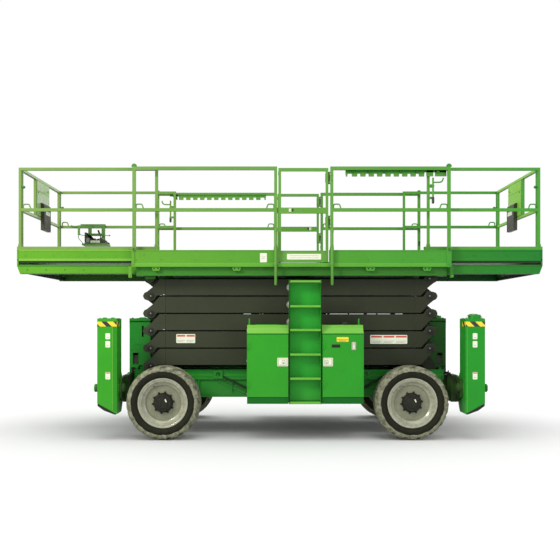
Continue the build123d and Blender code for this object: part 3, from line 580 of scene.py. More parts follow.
for end, e in ENDS:
    for side, s in SIDES:
        body = f"outrigger_{end}_{side}"
        xi, xo, face = e * 1.966, e * 2.187, 1.140
        x0, x1 = sorted((xi, xo))
        k = Mesh()
        # hazard band round the outer face and the inboard one
        z0, z1, slant, wide, pitch = 1.2865, 1.3420, 0.056, 0.062, 0.134
        k.box(x0 + 0.0005, x1 - 0.0005, s * (face - 0.001), s * (face + 0.0012), z0, z1, 0)
        k.box(xi - e * 0.0012, xi + e * 0.001, s * 1.000, s * (face + 0.0012), z0, z1, 0)
        k.box(xo - e * 0.001, xo + e * 0.0012, s * 1.000, s * (face + 0.0012), z0, z1, 0)

        def stripes(u0, u1, start, put):
            u = start - pitch
            while u < u1:
                poly = [(u, z1), (u + wide, z1), (u + wide + slant, z0), (u + slant, z0)]
                # clip to u0..u1
                for lim, keep in ((u0, 1), (u1, -1)):
                    out = []
                    for p, n in zip(poly, poly[1:] + poly[:1]):
                        inp, inn = keep * (p[0] - lim) >= 0, keep * (n[0] - lim) >= 0
                        if inp:
                            out.append(p)
                        if inp != inn:
                            t = (lim - p[0]) / (n[0] - p[0])
                            out.append((lim, p[1] + (n[1] - p[1]) * t))
                    poly = out
                    if not poly:
                        break
                if len(poly) > 2:
                    put(poly)
                u += pitch

        stripes(x0 + 0.001, x1 - 0.001, x0 + 0.046, lambda p: k.prism("y", p, s * face, s * (face + 0.0022), 1))
        stripes(1.001, face, 1.012, lambda p: k.prism("x", [(s * u, z) for u, z in p], xi, xi - e * 0.0022, 1))
        stripes(1.001, face, 1.012, lambda p: k.prism("x", [(s * u, z) for u, z in p], xo, xo + e * 0.0022, 1))
        # blank plates with a red head
        a = x0 + (0.093 if e < 0 else 0.081)
        for l0, l1, head in ((1.143, 1.211, 0), (1.050, 1.122, 0), (0.690, 0.772, 1)):
            label(k, s, a, a + 0.053, face, l0, l1, 2)
            if head:
                label(k, s, a + 0.004, a + 0.049, face, l1 - 0.016, l1 - 0.004, 3, 0.0018)
            k.box(a + 0.014, a + 0.039, s * face, s * (face + 0.0018), l0 + 0.018, l0 + 0.022, 4)
        k.make(f"leg_bands_{end}_{side}", body, [M["yellow"], M["hazard_black"], M["white"], M["red"], M["grey"]])
        # black foot wedge under the slanted end
        k = Mesh()
        k.prism("y", [(xi + e * 0.006, 0.3000), (xo - e * 0.0015, 0.4200), (xo - e * 0.0015, 0.3920), (xo - e * 0.014, 0.3800), (xi + e * 0.145, 0.3360), (xi + e * 0.030, 0.2935), (xi + e * 0.012, 0.2920)],
                s * 0.886, s * 1.136, 0)
        k.make(f"leg_foot_pad_{end}_{side}", body, [M["black"]], bevel=0.004)
        # cover plates, bolts and the hinge boss
        k = Mesh()
        # the folded corner: painted shade on a strip, on the front legs only, and a painted highlight along its crease
        w = 0.044 if e < 0 else 0.018
        foot_z = 0.309 if e < 0 else 0.300
        k.prism("y", [(xi + e * 0.004, foot_z + 0.010), (xi + e * 0.004, 1.282), (xi + e * w, 1.282), (xi + e * w, foot_z + 0.010 + w * 0.55)], s * (face - 0.001), s * (face + 0.0008), 2 if e < 0 else 0)
        k.prism("y", [(xi + e * w, foot_z + 0.012 + w * 0.55), (xi + e * w, 1.282), (xi + e * (w + 0.005), 1.282), (xi + e * (w + 0.005), foot_z + 0.014 + w * 0.55)], s * (face - 0.001), s * (face + 0.0016), 3)
        k.box(xo, xo + e * 0.006, s * 0.925, s * 1.095, 0.80, 1.20, 0)
        for yy in (0.945, 1.075):
            for zz in (0.82, 0.94, 1.06, 1.18):
                k.bolt("x", e, (xo + e * 0.006, s * yy, zz), 0.008, 0.006, 1)
        k.box(x0 + 0.010, x1 - 0.010, s * 0.890, s * 1.130, 1.375, 1.3790, 0)
        for xx in (x0 + 0.028, x1 - 0.028):
            for yy in (0.91, 1.11):
                k.bolt("z", 1, (xx, s * yy, 1.379), 0.008, 0.006, 1)
        # ribs on the inner lobe
        for xx in (x0 + 0.020, x1 - 0.028):
            k.prism("x", [(s * 0.884, 0.78), (s * 0.884, 0.90), (s * 0.868, 0.90), (s * 0.842, 0.72)], xx, xx + 0.008, 0)
        k.lathe("x", ((xi), s * 0.98, 0.58), [(-e * 0.004, 0.043), (-e * 0.004, 0.072), (e * 0.001, 0.078), (e * 0.001, 0.043)], 0, 40)
        k.lathe("x", ((xo), s * 0.98, 0.58), [(e * 0.004, 0.043), (e * 0.004, 0.070), (-e * 0.001, 0.076), (-e * 0.001, 0.043)], 0, 40)
        if e < 0:
            for xx in (-2.118, -2.026):
                k.dome("z", (xx, s * 1.085, 1.375), [(0, 0), (0, 0.020), (0.010, 0.019), (0.013, 0.012), (0.014, 0)], 0, 16)
        else:
            # stowed foot pad: a flared disc with a rubber edge and its socket
            k.lathe("z", (2.090, s * 1.010, 1.375), [(0.004, 0.030), (0.004, 0.058), (0.014, 0.050), (0.026, 0.048), (0.030, 0.068), (0.034, 0.071), (0.039, 0.069), (0.041, 0.060), (0.036, 0.044), (0.036, 0.018), (0.012, 0.018)], 4, 40)
            k.tube([(2.090 - 0.052, s * 1.010, 1.412), (2.090 - 0.044, s * 1.010, 1.424), (2.090, s * 1.010, 1.428), (2.090 + 0.044, s * 1.010, 1.424), (2.090 + 0.052, s * 1.010, 1.412)], 0.004, 4, 8)
            k.dome("z", (2.002, s * 1.085, 1.375), [(0, 0), (0, 0.020), (0.010, 0.019), (0.013, 0.012), (0.014, 0)], 0, 16)
            k.tube([(2.170, s * 1.05, 1.379), (2.170, s * 1.05, 1.396), (2.170, s * 1.02, 1.402), (2.170, s * 0.99, 1.396), (2.170, s * 0.99, 1.379)], 0.006, 1, 8)
        k.make(f"leg_fittings_{end}_{side}", body, [M["body"], M["zinc"], M["body_shade"], M["lip"], M["rail"]], bevel=0.0012)


# ================================================================ towers, chassis, underside
for end, e in ENDS:
    outer, inner = (-1.945, -1.690) if e < 0 else (1.893, 1.690)
    mid = (outer + inner) / 2
    k = Mesh()
    for side, s in SIDES:
        # edge trim round the two openings, and bolts up both edges
        for h0, h1, z0, z1 in ((0.035, 0.113, 0.821, 0.968), (0.145, 0.175, 1.154, 1.293)):
            a, b = outer - e * h0, outer - e * h1
            for p, q, r0, r1 in ((a, a - e * 0.005, z0, z1), (b, b + e * 0.005, z0, z1), (a, b, z0, z0 + 0.005), (a, b, z1 - 0.005, z1)):
                k.box(p, q, s * 0.484, s * 0.4985, r0, r1, 0)
        for zz in (0.79, 1.00, 1.13, 1.32):
            for xx in (outer - e * 0.014, inner + e * 0.014):
                k.bolt("y", s, (xx, s * 0.496, zz), 0.007, 0.005, 1)
        # stamped swage lines
        k.box(outer - e * 0.030, inner + e * 0.030, s * 0.496, s * 0.4995, 1.060, 1.072, 0)
        k.prism("y", [(outer, 1.334), (outer, 1.3805), (inner, 1.3805), (inner, 1.334)], s * 0.490, s * 0.500, 0)
        k.prism("x", [(s * 0.500, 1.350), (s * 0.500, 1.338), (s * 0.496, 1.334)], outer, inner, 0)
        # grey unit seen through the lower opening
        k.box(outer - e * 0.040, outer - e * 0.108, s * 0.455, s * 0.484, 0.825, 0.930, 5)
        for zz in (0.845, 0.875, 0.905):
            k.box(outer - e * 0.050, outer - e * 0.098, s * 0.484, s * 0.487, zz, zz + 0.010, 5)
        k.cyl("y", outer - e * 0.060, 0.915, 0.012, s * 0.470, s * 0.492, 3, 16)
        k.cyl("y", outer - e * 0.160, 1.222, 0.012, s * 0.470, s * 0.492, 3, 16)
        # pad under the tower's foot
        k.box(outer, outer - e * 0.150, s * 0.430, s * 0.496, 0.715, 0.722, 3)
    # end face: a blank plate, louvres and bolts
    for i in range(9):
        z = 0.86 + i * 0.026
        k.prism("y", [(outer, z), (outer + e * 0.009, z - 0.008), (outer + e * 0.009, z - 0.012), (outer, z - 0.016)], -0.150, 0.150, 0)
    for yy in (-0.470, -0.235, 0.0, 0.235, 0.470):
        for zz in (0.760, 1.330):
            k.bolt("x", e, (outer, yy, zz), 0.008, 0.006, 1)
    k.box(outer, outer + e * 0.0016, -0.230, 0.230, 1.130, 1.230, 4)
    # cap: two pressed ribs and lifting nuts
    for yy in (-0.30, 0.30):
        k.dome("z", (mid, yy, 1.378), [(0, 0), (0, 0.050), (0.008, 0.046), (0.014, 0.036), (0.015, 0)], 0, 28)
    for yy in (-0.46, 0.46):
        for xx in (outer - e * 0.030, inner + e * 0.030):
            k.dome("z", (xx, yy, 1.378), [(0, 0), (0, 0.014), (0.007, 0.013), (0.011, 0.006), (0.011, 0)], 1, 12)
    k.make(f"tower_trim_{end}", "chassis", [M["tower"], M["tower"], M["grey"], M["black"], M["white"], M["olive"]], bevel=0.001)

k = Mesh()
for side, s in SIDES:
    # proud ledge along the band, its return at the foot, and stitch welds
    k.box(-1.858, 1.833, s * 0.634, s * 0.6395, 0.694, 0.708, 1)
    k.box(-1.858, 1.833, s * 0.6335, s * 0.636, 0.763, 0.7675, 1)
    k.box(-1.858, 1.833, s * 0.634, s * 0.6370, 0.650, 0.656, 1)
    # bay ribs on the web
    for x in (-1.79, -1.66, -1.27, -1.10, -0.70, 1.17, 1.60, 1.74):
        k.box(x, x + 0.010, s * 0.612, s * 0.632, 0.500, 0.650, 0)
    # the cabinets' diagonal struts with folded edges
    k.prism("y", [(-0.860, 0.640), (-0.828, 0.640), (-0.520, 0.512), (-0.520, 0.478), (-0.545, 0.478), (-0.860, 0.612)], s * 0.614, s * 0.622, 0)
    k.prism("y", [(-0.828, 0.642), (-0.520, 0.514), (-0.520, 0.508), (-0.828, 0.636)], s * 0.614, s * 0.640, 0)
    k.prism("y", [(1.150, 0.640), (1.118, 0.640), (0.842, 0.512), (0.842, 0.478), (0.868, 0.478), (1.150, 0.612)], s * 0.614, s * 0.622, 0)
    k.prism("y", [(1.118, 0.642), (0.842, 0.514), (0.842, 0.508), (1.118, 0.636)], s * 0.614, s * 0.640, 0)
    # tie strap outside the band, from its top down to the web's foot, in the near-black shade green as painted shade
    for xa, xb in ((-0.841, -0.515), (1.131, 0.868)):
        k.prism("y", [(xa, 0.716), (xa, 0.690), (xb, 0.534), (xb, 0.560)], s * 0.640, s * 0.647, 4)
        k.cyl("y", xa, 0.703, 0.013, s * 0.638, s * 0.651, 4, 16)
        k.cyl("y", xb, 0.549, 0.013, s * 0.612, s * 0.651, 4, 16)
    for x in (-0.845, -0.545, 0.865, 1.137):
        k.bolt("y", s, (x, s * 0.622, 0.629 if abs(x) > 0.8 and (x < -0.8 or x > 1.0) else 0.497), 0.010, 0.008, 2)
    # bolts along the band
    for x in (-1.80, -1.52, -1.24, -0.98, -0.40, 0.10, 0.62, 1.04, 1.30, 1.58, 1.80):
        k.bolt("y", s, (x, s * 0.634, 0.676), 0.0095, 0.008, 2)
    # ends of the slide track: stops with rubber faces
    k.box(1.790, 1.815, s * 0.510, s * 0.590, 0.725, 0.790, 0)
    k.box(1.780, 1.790, s * 0.520, s * 0.580, 0.735, 0.780, 3)
    # pivot ears: outer washers round the lowest pins
    k.lathe("y", (-1.648, 0, 0.821), [(s * 0.560, 0.030), (s * 0.560, 0.046), (s * 0.553, 0.046), (s * 0.553, 0.030)], 2, 32)
    # weld beads round the tie-down plates
    for x in (-0.860, 0.900):
        k.box(x - 0.058, x + 0.058, s * 0.634, s * 0.641, 0.656, 0.662, 0)
        for t in (-0.060, 0.054):
            k.box(x + t, x + t + 0.006, s * 0.634, s * 0.641, 0.660, 0.758, 0)
        k.lathe("y", (x, s * 0.654, 0.712), [(-s * 0.002, 0.0252), (s * 0.002, 0.0265), (s * 0.002, 0.033), (-s * 0.002, 0.035)], 0, 32)
k.make("chassis_trim", "chassis", [M["chassis"], M["body"], M["chassis"], M["hose"], M["shade"]], bevel=0.001)

# outrigger carriers: swing cylinders, pin caps, hoses and the black fittings on the chassis ends
for end, e in ENDS:
    k = Mesh()
    fe = -1.860 if e < 0 else 1.835
    for side, s in SIDES:
        # drum-shaped actuator behind the pin plate
        k.cyl("x", s * 0.98, 0.58, 0.052, e * 1.905, e * 1.935, 0, 32)
        k.cyl("x", s * 0.98, 0.58, 0.034, e * 1.895, e * 1.906, 0, 6)
        k.lathe("x", (0, s * 0.98, 0.58), [(e * 2.236, 0.0), (e * 2.236, 0.0475), (e * 2.246, 0.0475), (e * 2.253, 0.040), (e * 2.253, 0.0)], 3, 40)
        for i in range(4):
            t = math.radians(45 + 90 * i)
            k.bolt("x", e, (e * 2.253, s * 0.98 + 0.030 * math.cos(t), 0.58 + 0.030 * math.sin(t)), 0.006, 0.004, 2)
        for zz in (0.425, 0.690):
            for yy in (0.600, 0.680, 0.760):
                k.bolt("x", e, (e * 1.960, s * yy, zz), 0.009, 0.007, 2)
        # gusset between slab and arm, hydraulic line along it
        k.prism("x", [(s * 0.560, 0.700), (s * 0.620, 0.715), (s * 0.560, 0.760)], e * 1.900, e * 1.910, 0)
        k.tube([(e * 1.880, s * 0.520, 0.712), (e * 1.880, s * 0.60, 0.728), (e * 1.882, s * 0.76, 0.732), (e * 1.884, s * 0.86, 0.700), (e * 1.888, s * 0.93, 0.640)], 0.006, 1, 10)
        k.tube([(e * 1.862, s * 0.520, 0.708), (e * 1.862, s * 0.61, 0.724), (e * 1.864, s * 0.77, 0.726), (e * 1.868, s * 0.87, 0.690), (e * 1.882, s * 0.94, 0.622)], 0.006, 1, 10)
        for yy in (0.60, 0.74):
            k.box(e * 1.852, e * 1.892, s * (yy - 0.008), s * (yy + 0.008), 0.715, 0.742, 1)
    # fittings on the deck of the chassis end: a dark block with plugs, a pipe and clips
    a = -1.933 if e < 0 else 1.790
    b = -1.794 if e < 0 else 1.880
    for side, s in SIDES:
        k.box(a + 0.012, b - 0.060, s * 0.505, s * 0.560, 0.700, 0.760, 1)
        k.cyl("y", a + 0.040, 0.772, 0.020, s * 0.512, s * 0.556, 1, 20)
        k.cyl("z", b - 0.030, s * 0.535, 0.014, 0.700, 0.790, 1, 16)
        k.cyl("z", b - 0.030, s * 0.535, 0.018, 0.745, 0.757, 2, 6)
        k.tube([(b - 0.030, s * 0.535, 0.786), (b - 0.028, s * 0.535, 0.802), (b - 0.012, s * 0.530, 0.808), (b + 0.004, s * 0.52, 0.800)], 0.008, 1, 10)
    # tow eye and bumper face in the middle
    k.box(e * 1.960, e * 1.968, -0.300, 0.300, 0.500, 0.670, 0)
    for yy in (-0.26, 0.26):
        for zz in (0.53, 0.64):
            k.bolt("x", e, (e * 1.968, yy, zz), 0.010, 0.008, 2)
    for yy in (-0.16, 0.16):
        k.tube([(e * 1.966, yy - 0.035, 0.585), (e * 2.000, yy - 0.035, 0.585), (e * 2.022, yy - 0.020, 0.585), (e * 2.028, yy, 0.585),
                (e * 2.022, yy + 0.020, 0.585), (e * 2.000, yy + 0.035, 0.585), (e * 1.966, yy + 0.035, 0.585)], 0.009, 0, 12)
    k.make(f"carrier_fittings_{end}", "chassis", [M["carrier"], M["black"], M["carrier"], M["body"]], bevel=0.0012)

# axles: ribs, cover rings, brake lines, tie rod and propeller shaft
k = Mesh()
for x in (FRONT_X, REAR_X):
    k.lathe("y", (x, 0, HUB_Z), [(-0.020, 0.130), (-0.020, 0.150), (0.020, 0.150), (0.020, 0.130)], 0, 40)
    for i in range(12):
        t = math.tau * i / 12
        k.cyl("y", x + 0.142 * math.cos(t), HUB_Z + 0.142 * math.sin(t), 0.007, -0.028, 0.028, 1, 6)
    for y in (-0.30, -0.20, 0.20, 0.30):
        k.lathe("y", (x, y, HUB_Z), [(-0.006, 0.056), (-0.006, 0.072), (0.006, 0.072), (0.006, 0.056)], 0, 32)
    for side, s in SIDES:
        for y in (0.50, 0.52, 0.74, 0.76):
            k.lathe("y", (x, s * y, HUB_Z), [(-0.004, 0.056), (-0.004, 0.068), (0.004, 0.068), (0.004, 0.056)], 0, 32)
        k.tube([(x - 0.020, s * 0.10, HUB_Z + 0.132), (x - 0.010, s * 0.16, HUB_Z + 0.100), (x, s * 0.24, HUB_Z + 0.078), (x, s * 0.48, HUB_Z + 0.076), (x, s * 0.76, HUB_Z + 0.070)], 0.006, 2, 8)
        for dx in (-0.062, 0.050):
            for yy in (0.41, 0.46):
                k.cyl("z", x + dx + 0.006, s * yy, 0.009, HUB_Z - 0.075, HUB_Z + 0.02, 1, 10)
        k.box(x - 0.070, x + 0.070, s * 0.405, s * 0.475, HUB_Z - 0.066, HUB_Z - 0.056, 0)
k.tube([(FRONT_X + 0.190, 0, HUB_Z), (FRONT_X + 0.235, 0, HUB_Z + 0.004), (FRONT_X + 0.26, 0, HUB_Z + 0.01)], 0.040, 0, 16)
k.tube([(FRONT_X + 0.250, 0, HUB_Z + 0.008), (-0.20, 0, HUB_Z + 0.062)], 0.032, 0, 20)
k.tube([(-0.10, 0, HUB_Z + 0.062), (REAR_X - 0.235, 0, HUB_Z + 0.008)], 0.032, 0, 20)
k.tube([(REAR_X - 0.245, 0, HUB_Z + 0.008), (REAR_X - 0.185, 0, HUB_Z)], 0.044, 0, 16)
k.box(-0.240, -0.060, -0.100, 0.100, HUB_Z + 0.010, HUB_Z + 0.120, 0)
k.box(-0.055, 0.055, -0.480, 0.480, HUB_Z + 0.055, HUB_Z + 0.090, 0)
for yy in (-0.43, -0.2, 0.2, 0.43):
    k.bolt("z", -1, (-0.02, yy, HUB_Z + 0.055), 0.010, 0.008, 1)
for x0 in (FRONT_X + 0.235, REAR_X - 0.235, -0.22, -0.08):
    k.box(x0 - 0.02, x0 + 0.02, -0.048, 0.048, HUB_Z + 0.002 + (0.06 if abs(x0) < 0.5 else 0), HUB_Z + 0.018 + (0.06 if abs(x0) < 0.5 else 0), 0)
    k.box(x0 - 0.02, x0 + 0.02, -0.010, 0.010, HUB_Z - 0.038 + (0.06 if abs(x0) < 0.5 else 0), HUB_Z + 0.058 + (0.06 if abs(x0) < 0.5 else 0), 0)
k.make("axle_details", "chassis", [M["cast"], M["zinc"], M["hose"]], bevel=0.0015)

for side, s in SIDES:
    k = Mesh()
    c = (FRONT_X, s * 0.900, HUB_Z)
    k.cyl("z", c[0], c[1], 0.030, HUB_Z + 0.058, HUB_Z + 0.0645, 0, 24)
    for i in range(6):
        t = math.tau * i / 6
        k.cyl("y", c[0] + 0.047 * math.cos(t), c[2] + 0.047 * math.sin(t), 0.007, s * 0.950, s * 0.962, 1, 6)
    k.cyl("z", FRONT_X + 0.130, s * 0.881, 0.014, HUB_Z + 0.012, HUB_Z + 0.060, 1, 14)
    k.cyl("z", FRONT_X + 0.130, s * 0.881, 0.022, HUB_Z + 0.044, HUB_Z + 0.058, 0, 20)
    k.make(f"knuckle_details_{side}", f"steering_{side}", [M["cast"], M["zinc"]], bevel=0.001)

# ================================================================ cabinets
for side, s in SIDES:
    k = Mesh()
    # rubber door seals, drip edge over the doors, bolts and the trough behind the ladder
    for x0, x1 in ((-0.498, -0.0325), (0.355, 0.819)):
        k.box(x0 + 0.010, x1 - 0.010, s * 1.1125, s * 1.1165, 1.189, 1.196, 1)
        k.box(x0 + 0.010, x1 - 0.010, s * 1.1125, s * 1.1165, 0.492, 0.499, 1)
        k.box(x0 + 0.012, x0 + 0.020, s * 1.1125, s * 1.1165, 0.499, 1.189, 1)
        k.box(x1 - 0.020, x1 - 0.012, s * 1.1125, s * 1.1165, 0.499, 1.189, 1)
        k.prism("x", [(s * 1.131, 1.205), (s * 1.137, 1.203), (s * 1.137, 1.207), (s * 1.130, 1.211)], x0, x1, 0)
        k.box(x0 + 0.006, x1 - 0.006, s * 1.058, s * 1.0605, 1.278, 1.301, 0)
    for x in (-0.470, -0.260, -0.060, 0.385, 0.580, 0.790):
        k.bolt("z", 1, (x, s * 1.030, 1.3035), 0.007, 0.004, 0)
        k.bolt("z", 1, (x, s * 0.780, 1.3035), 0.007, 0.004, 0)
        k.bolt("z", -1, (x, s * 0.960, 0.4185), 0.007, 0.004, 2)
    # aerial-like rods at the two top corners, with their feet
    for x in (-0.475, 0.776):
        k.cyl("z", x, s * 1.020, 0.014, 1.3035, 1.312, 0, 20)
        k.cyl("z", x, s * 1.020, 0.0085, 1.310, 1.368, 0, 12)
        k.dome("z", (x, s * 1.020, 1.366), [(0, 0), (0, 0.0085), (0.006, 0.008), (0.010, 0.004), (0.011, 0)], 0, 16)
    # top: filler cap, grille and a lift plate
    k.dome("z", (0.62, s * 0.900, 1.3035), [(0, 0), (0, 0.045), (0.022, 0.045), (0.028, 0.040), (0.030, 0.0)], 1, 28)
    for i in range(12):
        k.box(-0.40 + i * 0.022, -0.388 + i * 0.022, s * 0.820, s * 1.000, 1.3035, 1.3075, 1)
    k.box(-0.412, -0.402, s * 0.812, s * 1.008, 1.3035, 1.3095, 0)
    k.box(-0.136, -0.126, s * 0.812, s * 1.008, 1.3035, 1.3095, 0)
    k.box(-0.412, -0.126, s * 1.000, s * 1.008, 1.3035, 1.3095, 0)
    k.box(-0.412, -0.126, s * 0.812, s * 0.820, 1.3035, 1.3095, 0)
    # end walls: pressed ribs and vents
    for xe, d in ((-0.498, -1), (0.819, 1)):
        for i in range(7):
            z = 0.62 + i * 0.030
            k.prism("y", [(xe, z), (xe + d * 0.008, z - 0.009), (xe + d * 0.008, z - 0.012), (xe, z - 0.016)], s * 0.820, s * 1.040, 0)
        for zz in (0.52, 0.90, 1.24):
            for yy in (0.775, 1.080):
                k.bolt("x", d, (xe, s * min(yy, 1.05 if zz > 1.2 else yy), zz), 0.007, 0.005, 2)
    # what is inside: a tank with its cap and strap, a battery, valve block and hoses
    if s < 0:
        k.box(0.40, 0.74, s * 0.770, s * 0.990, 0.515, 0.900, 3)
        for xx in (0.47, 0.66):
            k.box(xx, xx + 0.025, s * 0.764, s * 0.996, 0.511, 0.905, 1)
        k.cyl("z", 0.57, s * 0.880, 0.040, 0.900, 0.930, 1, 28)
        k.box(-0.430, -0.150, s * 0.790, s * 0.980, 0.515, 0.720, 1)
        for xx in (-0.390, -0.190):
            k.cyl("z", xx, s * 0.930, 0.014, 0.720, 0.745, 2, 14)
        k.tube([(-0.390, s * 0.930, 0.745), (-0.385, s * 0.930, 0.80), (-0.30, s * 0.900, 0.86), (-0.10, s * 0.860, 0.90), (0.10, s * 0.850, 0.88), (0.30, s * 0.86, 0.84)], 0.010, 1, 10)
        k.box(-0.400, -0.200, s * 0.800, s * 0.920, 0.900, 1.060, 2)
        for i in range(4):
            xx = -0.380 + i * 0.050
            k.cyl("y", xx, 0.98, 0.016, s * 0.920, s * 0.955, 1, 14)
            k.tube([(xx, s * 0.860, 1.060), (xx, s * 0.860, 1.110), (xx + 0.03, s * 0.850, 1.160), (xx + 0.12, s * 0.830, 1.190), (0.10 + i * 0.03, s * 0.820, 1.185), (0.36 + i * 0.03, s * 0.82, 1.05), (0.44 + i * 0.04, s * 0.84, 0.905)], 0.009, 1, 10)
    k.make(f"cabinet_trim_{side}", "chassis", [M["body"], M["hose"], M["zinc"], M["grey"]], bevel=0.001)

    k = Mesh()  # engine dressing, or the pump pack's, around the plain block
    if s > 0:
        k.box(-0.420, 0.280, s * 1.000, s * 1.008, 0.560, 0.700, 0)
        for i in range(8):
            k.box(-0.400 + i * 0.083, -0.388 + i * 0.083, s * 0.999, s * 1.006, 0.720, 1.090, 0)
        k.box(-0.380, 0.240, s * 0.800, s * 0.960, 1.120, 1.170, 0)
        for i in range(4):
            x = -0.320 + i * 0.160
            k.cyl("z", x, s * 0.880, 0.030, 1.170, 1.190, 1, 24)
            k.tube([(x + 0.03, s * 0.960, 1.140), (x + 0.03, s * 0.990, 1.135), (x + 0.035, s * 1.003, 1.100), (x + 0.04, s * 1.004, 0.98)], 0.008, 2, 8)
        k.cyl("x", s * 0.890, 0.62, 0.085, 0.300, 0.322, 2, 36)
        k.cyl("x", s * 0.890, 0.62, 0.060, 0.322, 0.336, 1, 30)
        k.cyl("x", s * 0.860, 0.92, 0.070, 0.300, 0.322, 2, 36)
        k.tube([(0.328, s * 0.890 - 0.075, 0.62), (0.328, s * 0.800, 0.90), (0.328, s * 0.83, 0.972), (0.328, s * 0.89, 0.985), (0.328, s * 0.93, 0.93), (0.328, s * 0.97, 0.64), (0.328, s * 0.94, 0.555), (0.328, s * 0.87, 0.545)], 0.007, 2, 8, closed=True)
        k.box(0.40, 0.72, s * 0.800, s * 0.980, 0.515, 0.860, 1)
        for i in range(14):
            k.box(0.41 + i * 0.0225, 0.416 + i * 0.0225, s * 0.980, s * 0.986, 0.530, 0.845, 2)
        k.tube([(0.36, s * 0.88, 1.05), (0.46, s * 0.90, 1.04), (0.54, s * 0.90, 0.98), (0.56, s * 0.90, 0.87)], 0.024, 2, 14)
        k.make("engine_dressing", "chassis", [M["cast"], M["zinc"], M["hose"]], bevel=0.0015)

    for name, x0, x1, latch in (("front", -0.498, -0.0325, (-0.156, -0.0345)), ("rear", 0.355, 0.819, (0.362, 0.472))):
        k = Mesh()
        f = 1.140
        # pressed inner frame on the back, seal channel, hinge bolts
        k.box(x0 + 0.030, x1 - 0.030, s * 1.1145, s * 1.118, 0.520, 0.535, 0)
        k.box(x0 + 0.030, x1 - 0.030, s * 1.1145, s * 1.118, 1.150, 1.165, 0)
        hx = x0 + 0.006 if name == "front" else x0 + 0.004
        for z in (0.590, 1.030):
            for zz in (z + 0.018, z + 0.062):
                k.bolt("y", s, (hx + 0.021, s * 1.144, zz), 0.0052, 0.0035, 0, washer=False)
            k.cyl("z", hx, s * 1.143, 0.0072, z - 0.003, z, 0, 12)
            k.cyl("z", hx, s * 1.143, 0.0072, z + 0.080, z + 0.083, 0, 12)
        # white latch plate with its recessed pull
        a, b = latch
        label(k, s, a, b, f, 0.838, 0.934, 3, 0.003)
        label(k, s, a + 0.010, b - 0.010, f + 0.003, 0.848, 0.924, 6, 0.001)
        label(k, s, a + 0.016, b - 0.016, f + 0.003, 0.854, 0.918, 2, 0.003)
        u = a + 0.052 if name == "front" else a + 0.020
        label(k, s, u, u + 0.038, f + 0.006, 0.864, 0.908, 6, 0.002)
        label(k, s, u + 0.006, u + 0.032, f + 0.008, 0.870, 0.902, 3, 0.003)
        k.cyl("y", u + 0.019, 0.878, 0.0045, s * (f + 0.010), s * (f + 0.013), 4, 14)
        # swage lines
        for u in ((x0 + 0.014, x0 + 0.017), (x1 - 0.017, x1 - 0.014)):
            k.box(u[0], u[1], s * (f - 0.0005), s * (f + 0.0008), 0.504, 1.183, 0)
        if name == "rear":
            label(k, s, 0.513, 0.649, f, 1.114, 1.167, 5)
            k.box(0.513, 0.649, s * f, s * (f + 0.0016), 1.134, 1.139, 4)
            k.box(0.540, 0.622, s * f, s * (f + 0.0016), 1.120, 1.125, 4)
            label(k, s, 0.457, 0.555, f, 1.048, 1.084, 4)
            # grey latch: body, hasp and knob
            label(k, s, 0.681, 0.732, f, 1.021, 1.112, 6, 0.006)
            k.box(0.6955, 0.7175, s * (f + 0.006), s * (f + 0.013), 1.030, 1.104, 3)
            k.box(0.690, 0.6945, s * (f + 0.006), s * (f + 0.008), 1.026, 1.108, 1)
            k.cyl("y", 0.7065, 1.092, 0.007, s * (f + 0.012), s * (f + 0.016), 6, 20)
        k.make(f"door_fittings_{name}_{side}", f"door_{name}_{side}",
               [M["body"], M["zinc"], M["white"], M["cream"], M["black"], M["yellow"], M["latch_grey"]], bevel=0.0008)

    # ladder: punched treads, folded lips in the lighter lip green as a painted highlight, bolts and hand grips, and
    # side strips in the rail shade green as painted shade
    k = Mesh()
    x0, x1 = -0.0225, 0.345
    for z in (0.423, 0.697, 0.969, 1.246, 1.514, 1.795):
        k.prism("x", [(s * 1.1365, z + 0.0125), (s * 1.1395, z + 0.010), (s * 1.1395, z - 0.011), (s * 1.1365, z - 0.013)], x0 + 0.0125, x1 - 0.0125, 1)
        for row, yy in enumerate((1.062, 1.083, 1.104, 1.124)):
            for i in range(11):
                x = x0 + 0.030 + i * 0.0302 + (0.015 if row % 2 else 0)
                if x > x1 - 0.024:
                    continue
                k.lathe("z", (x, s * yy, z + 0.012), [(0.0, 0.0028), (0.0, 0.0062), (0.0022, 0.0050), (0.0022, 0.0034)], 0, 8)
    for x, d in ((x0, 1), (x1, -1)):
        k.box(x, x + d * 0.012, s * 1.1385, s * 1.1400, 0.412, 1.810, 3)
        k.dome("y", (x + d * 0.006, s * 1.140, 1.786), [(-s * 0.002, 0), (-s * 0.002, 0.0052), (s * 0.0015, 0.005), (s * 0.003, 0)], 2, 12)
        for z in (0.60, 0.90, 1.18):
            k.bolt("x", -d, (x, s * 1.050, z), 0.007, 0.004, 2)
    k.make(f"ladder_treads_{side}", "chassis", [M["ladder"], M["lip"], M["ladder"], M["rail_dark"]], bevel=0.0006)

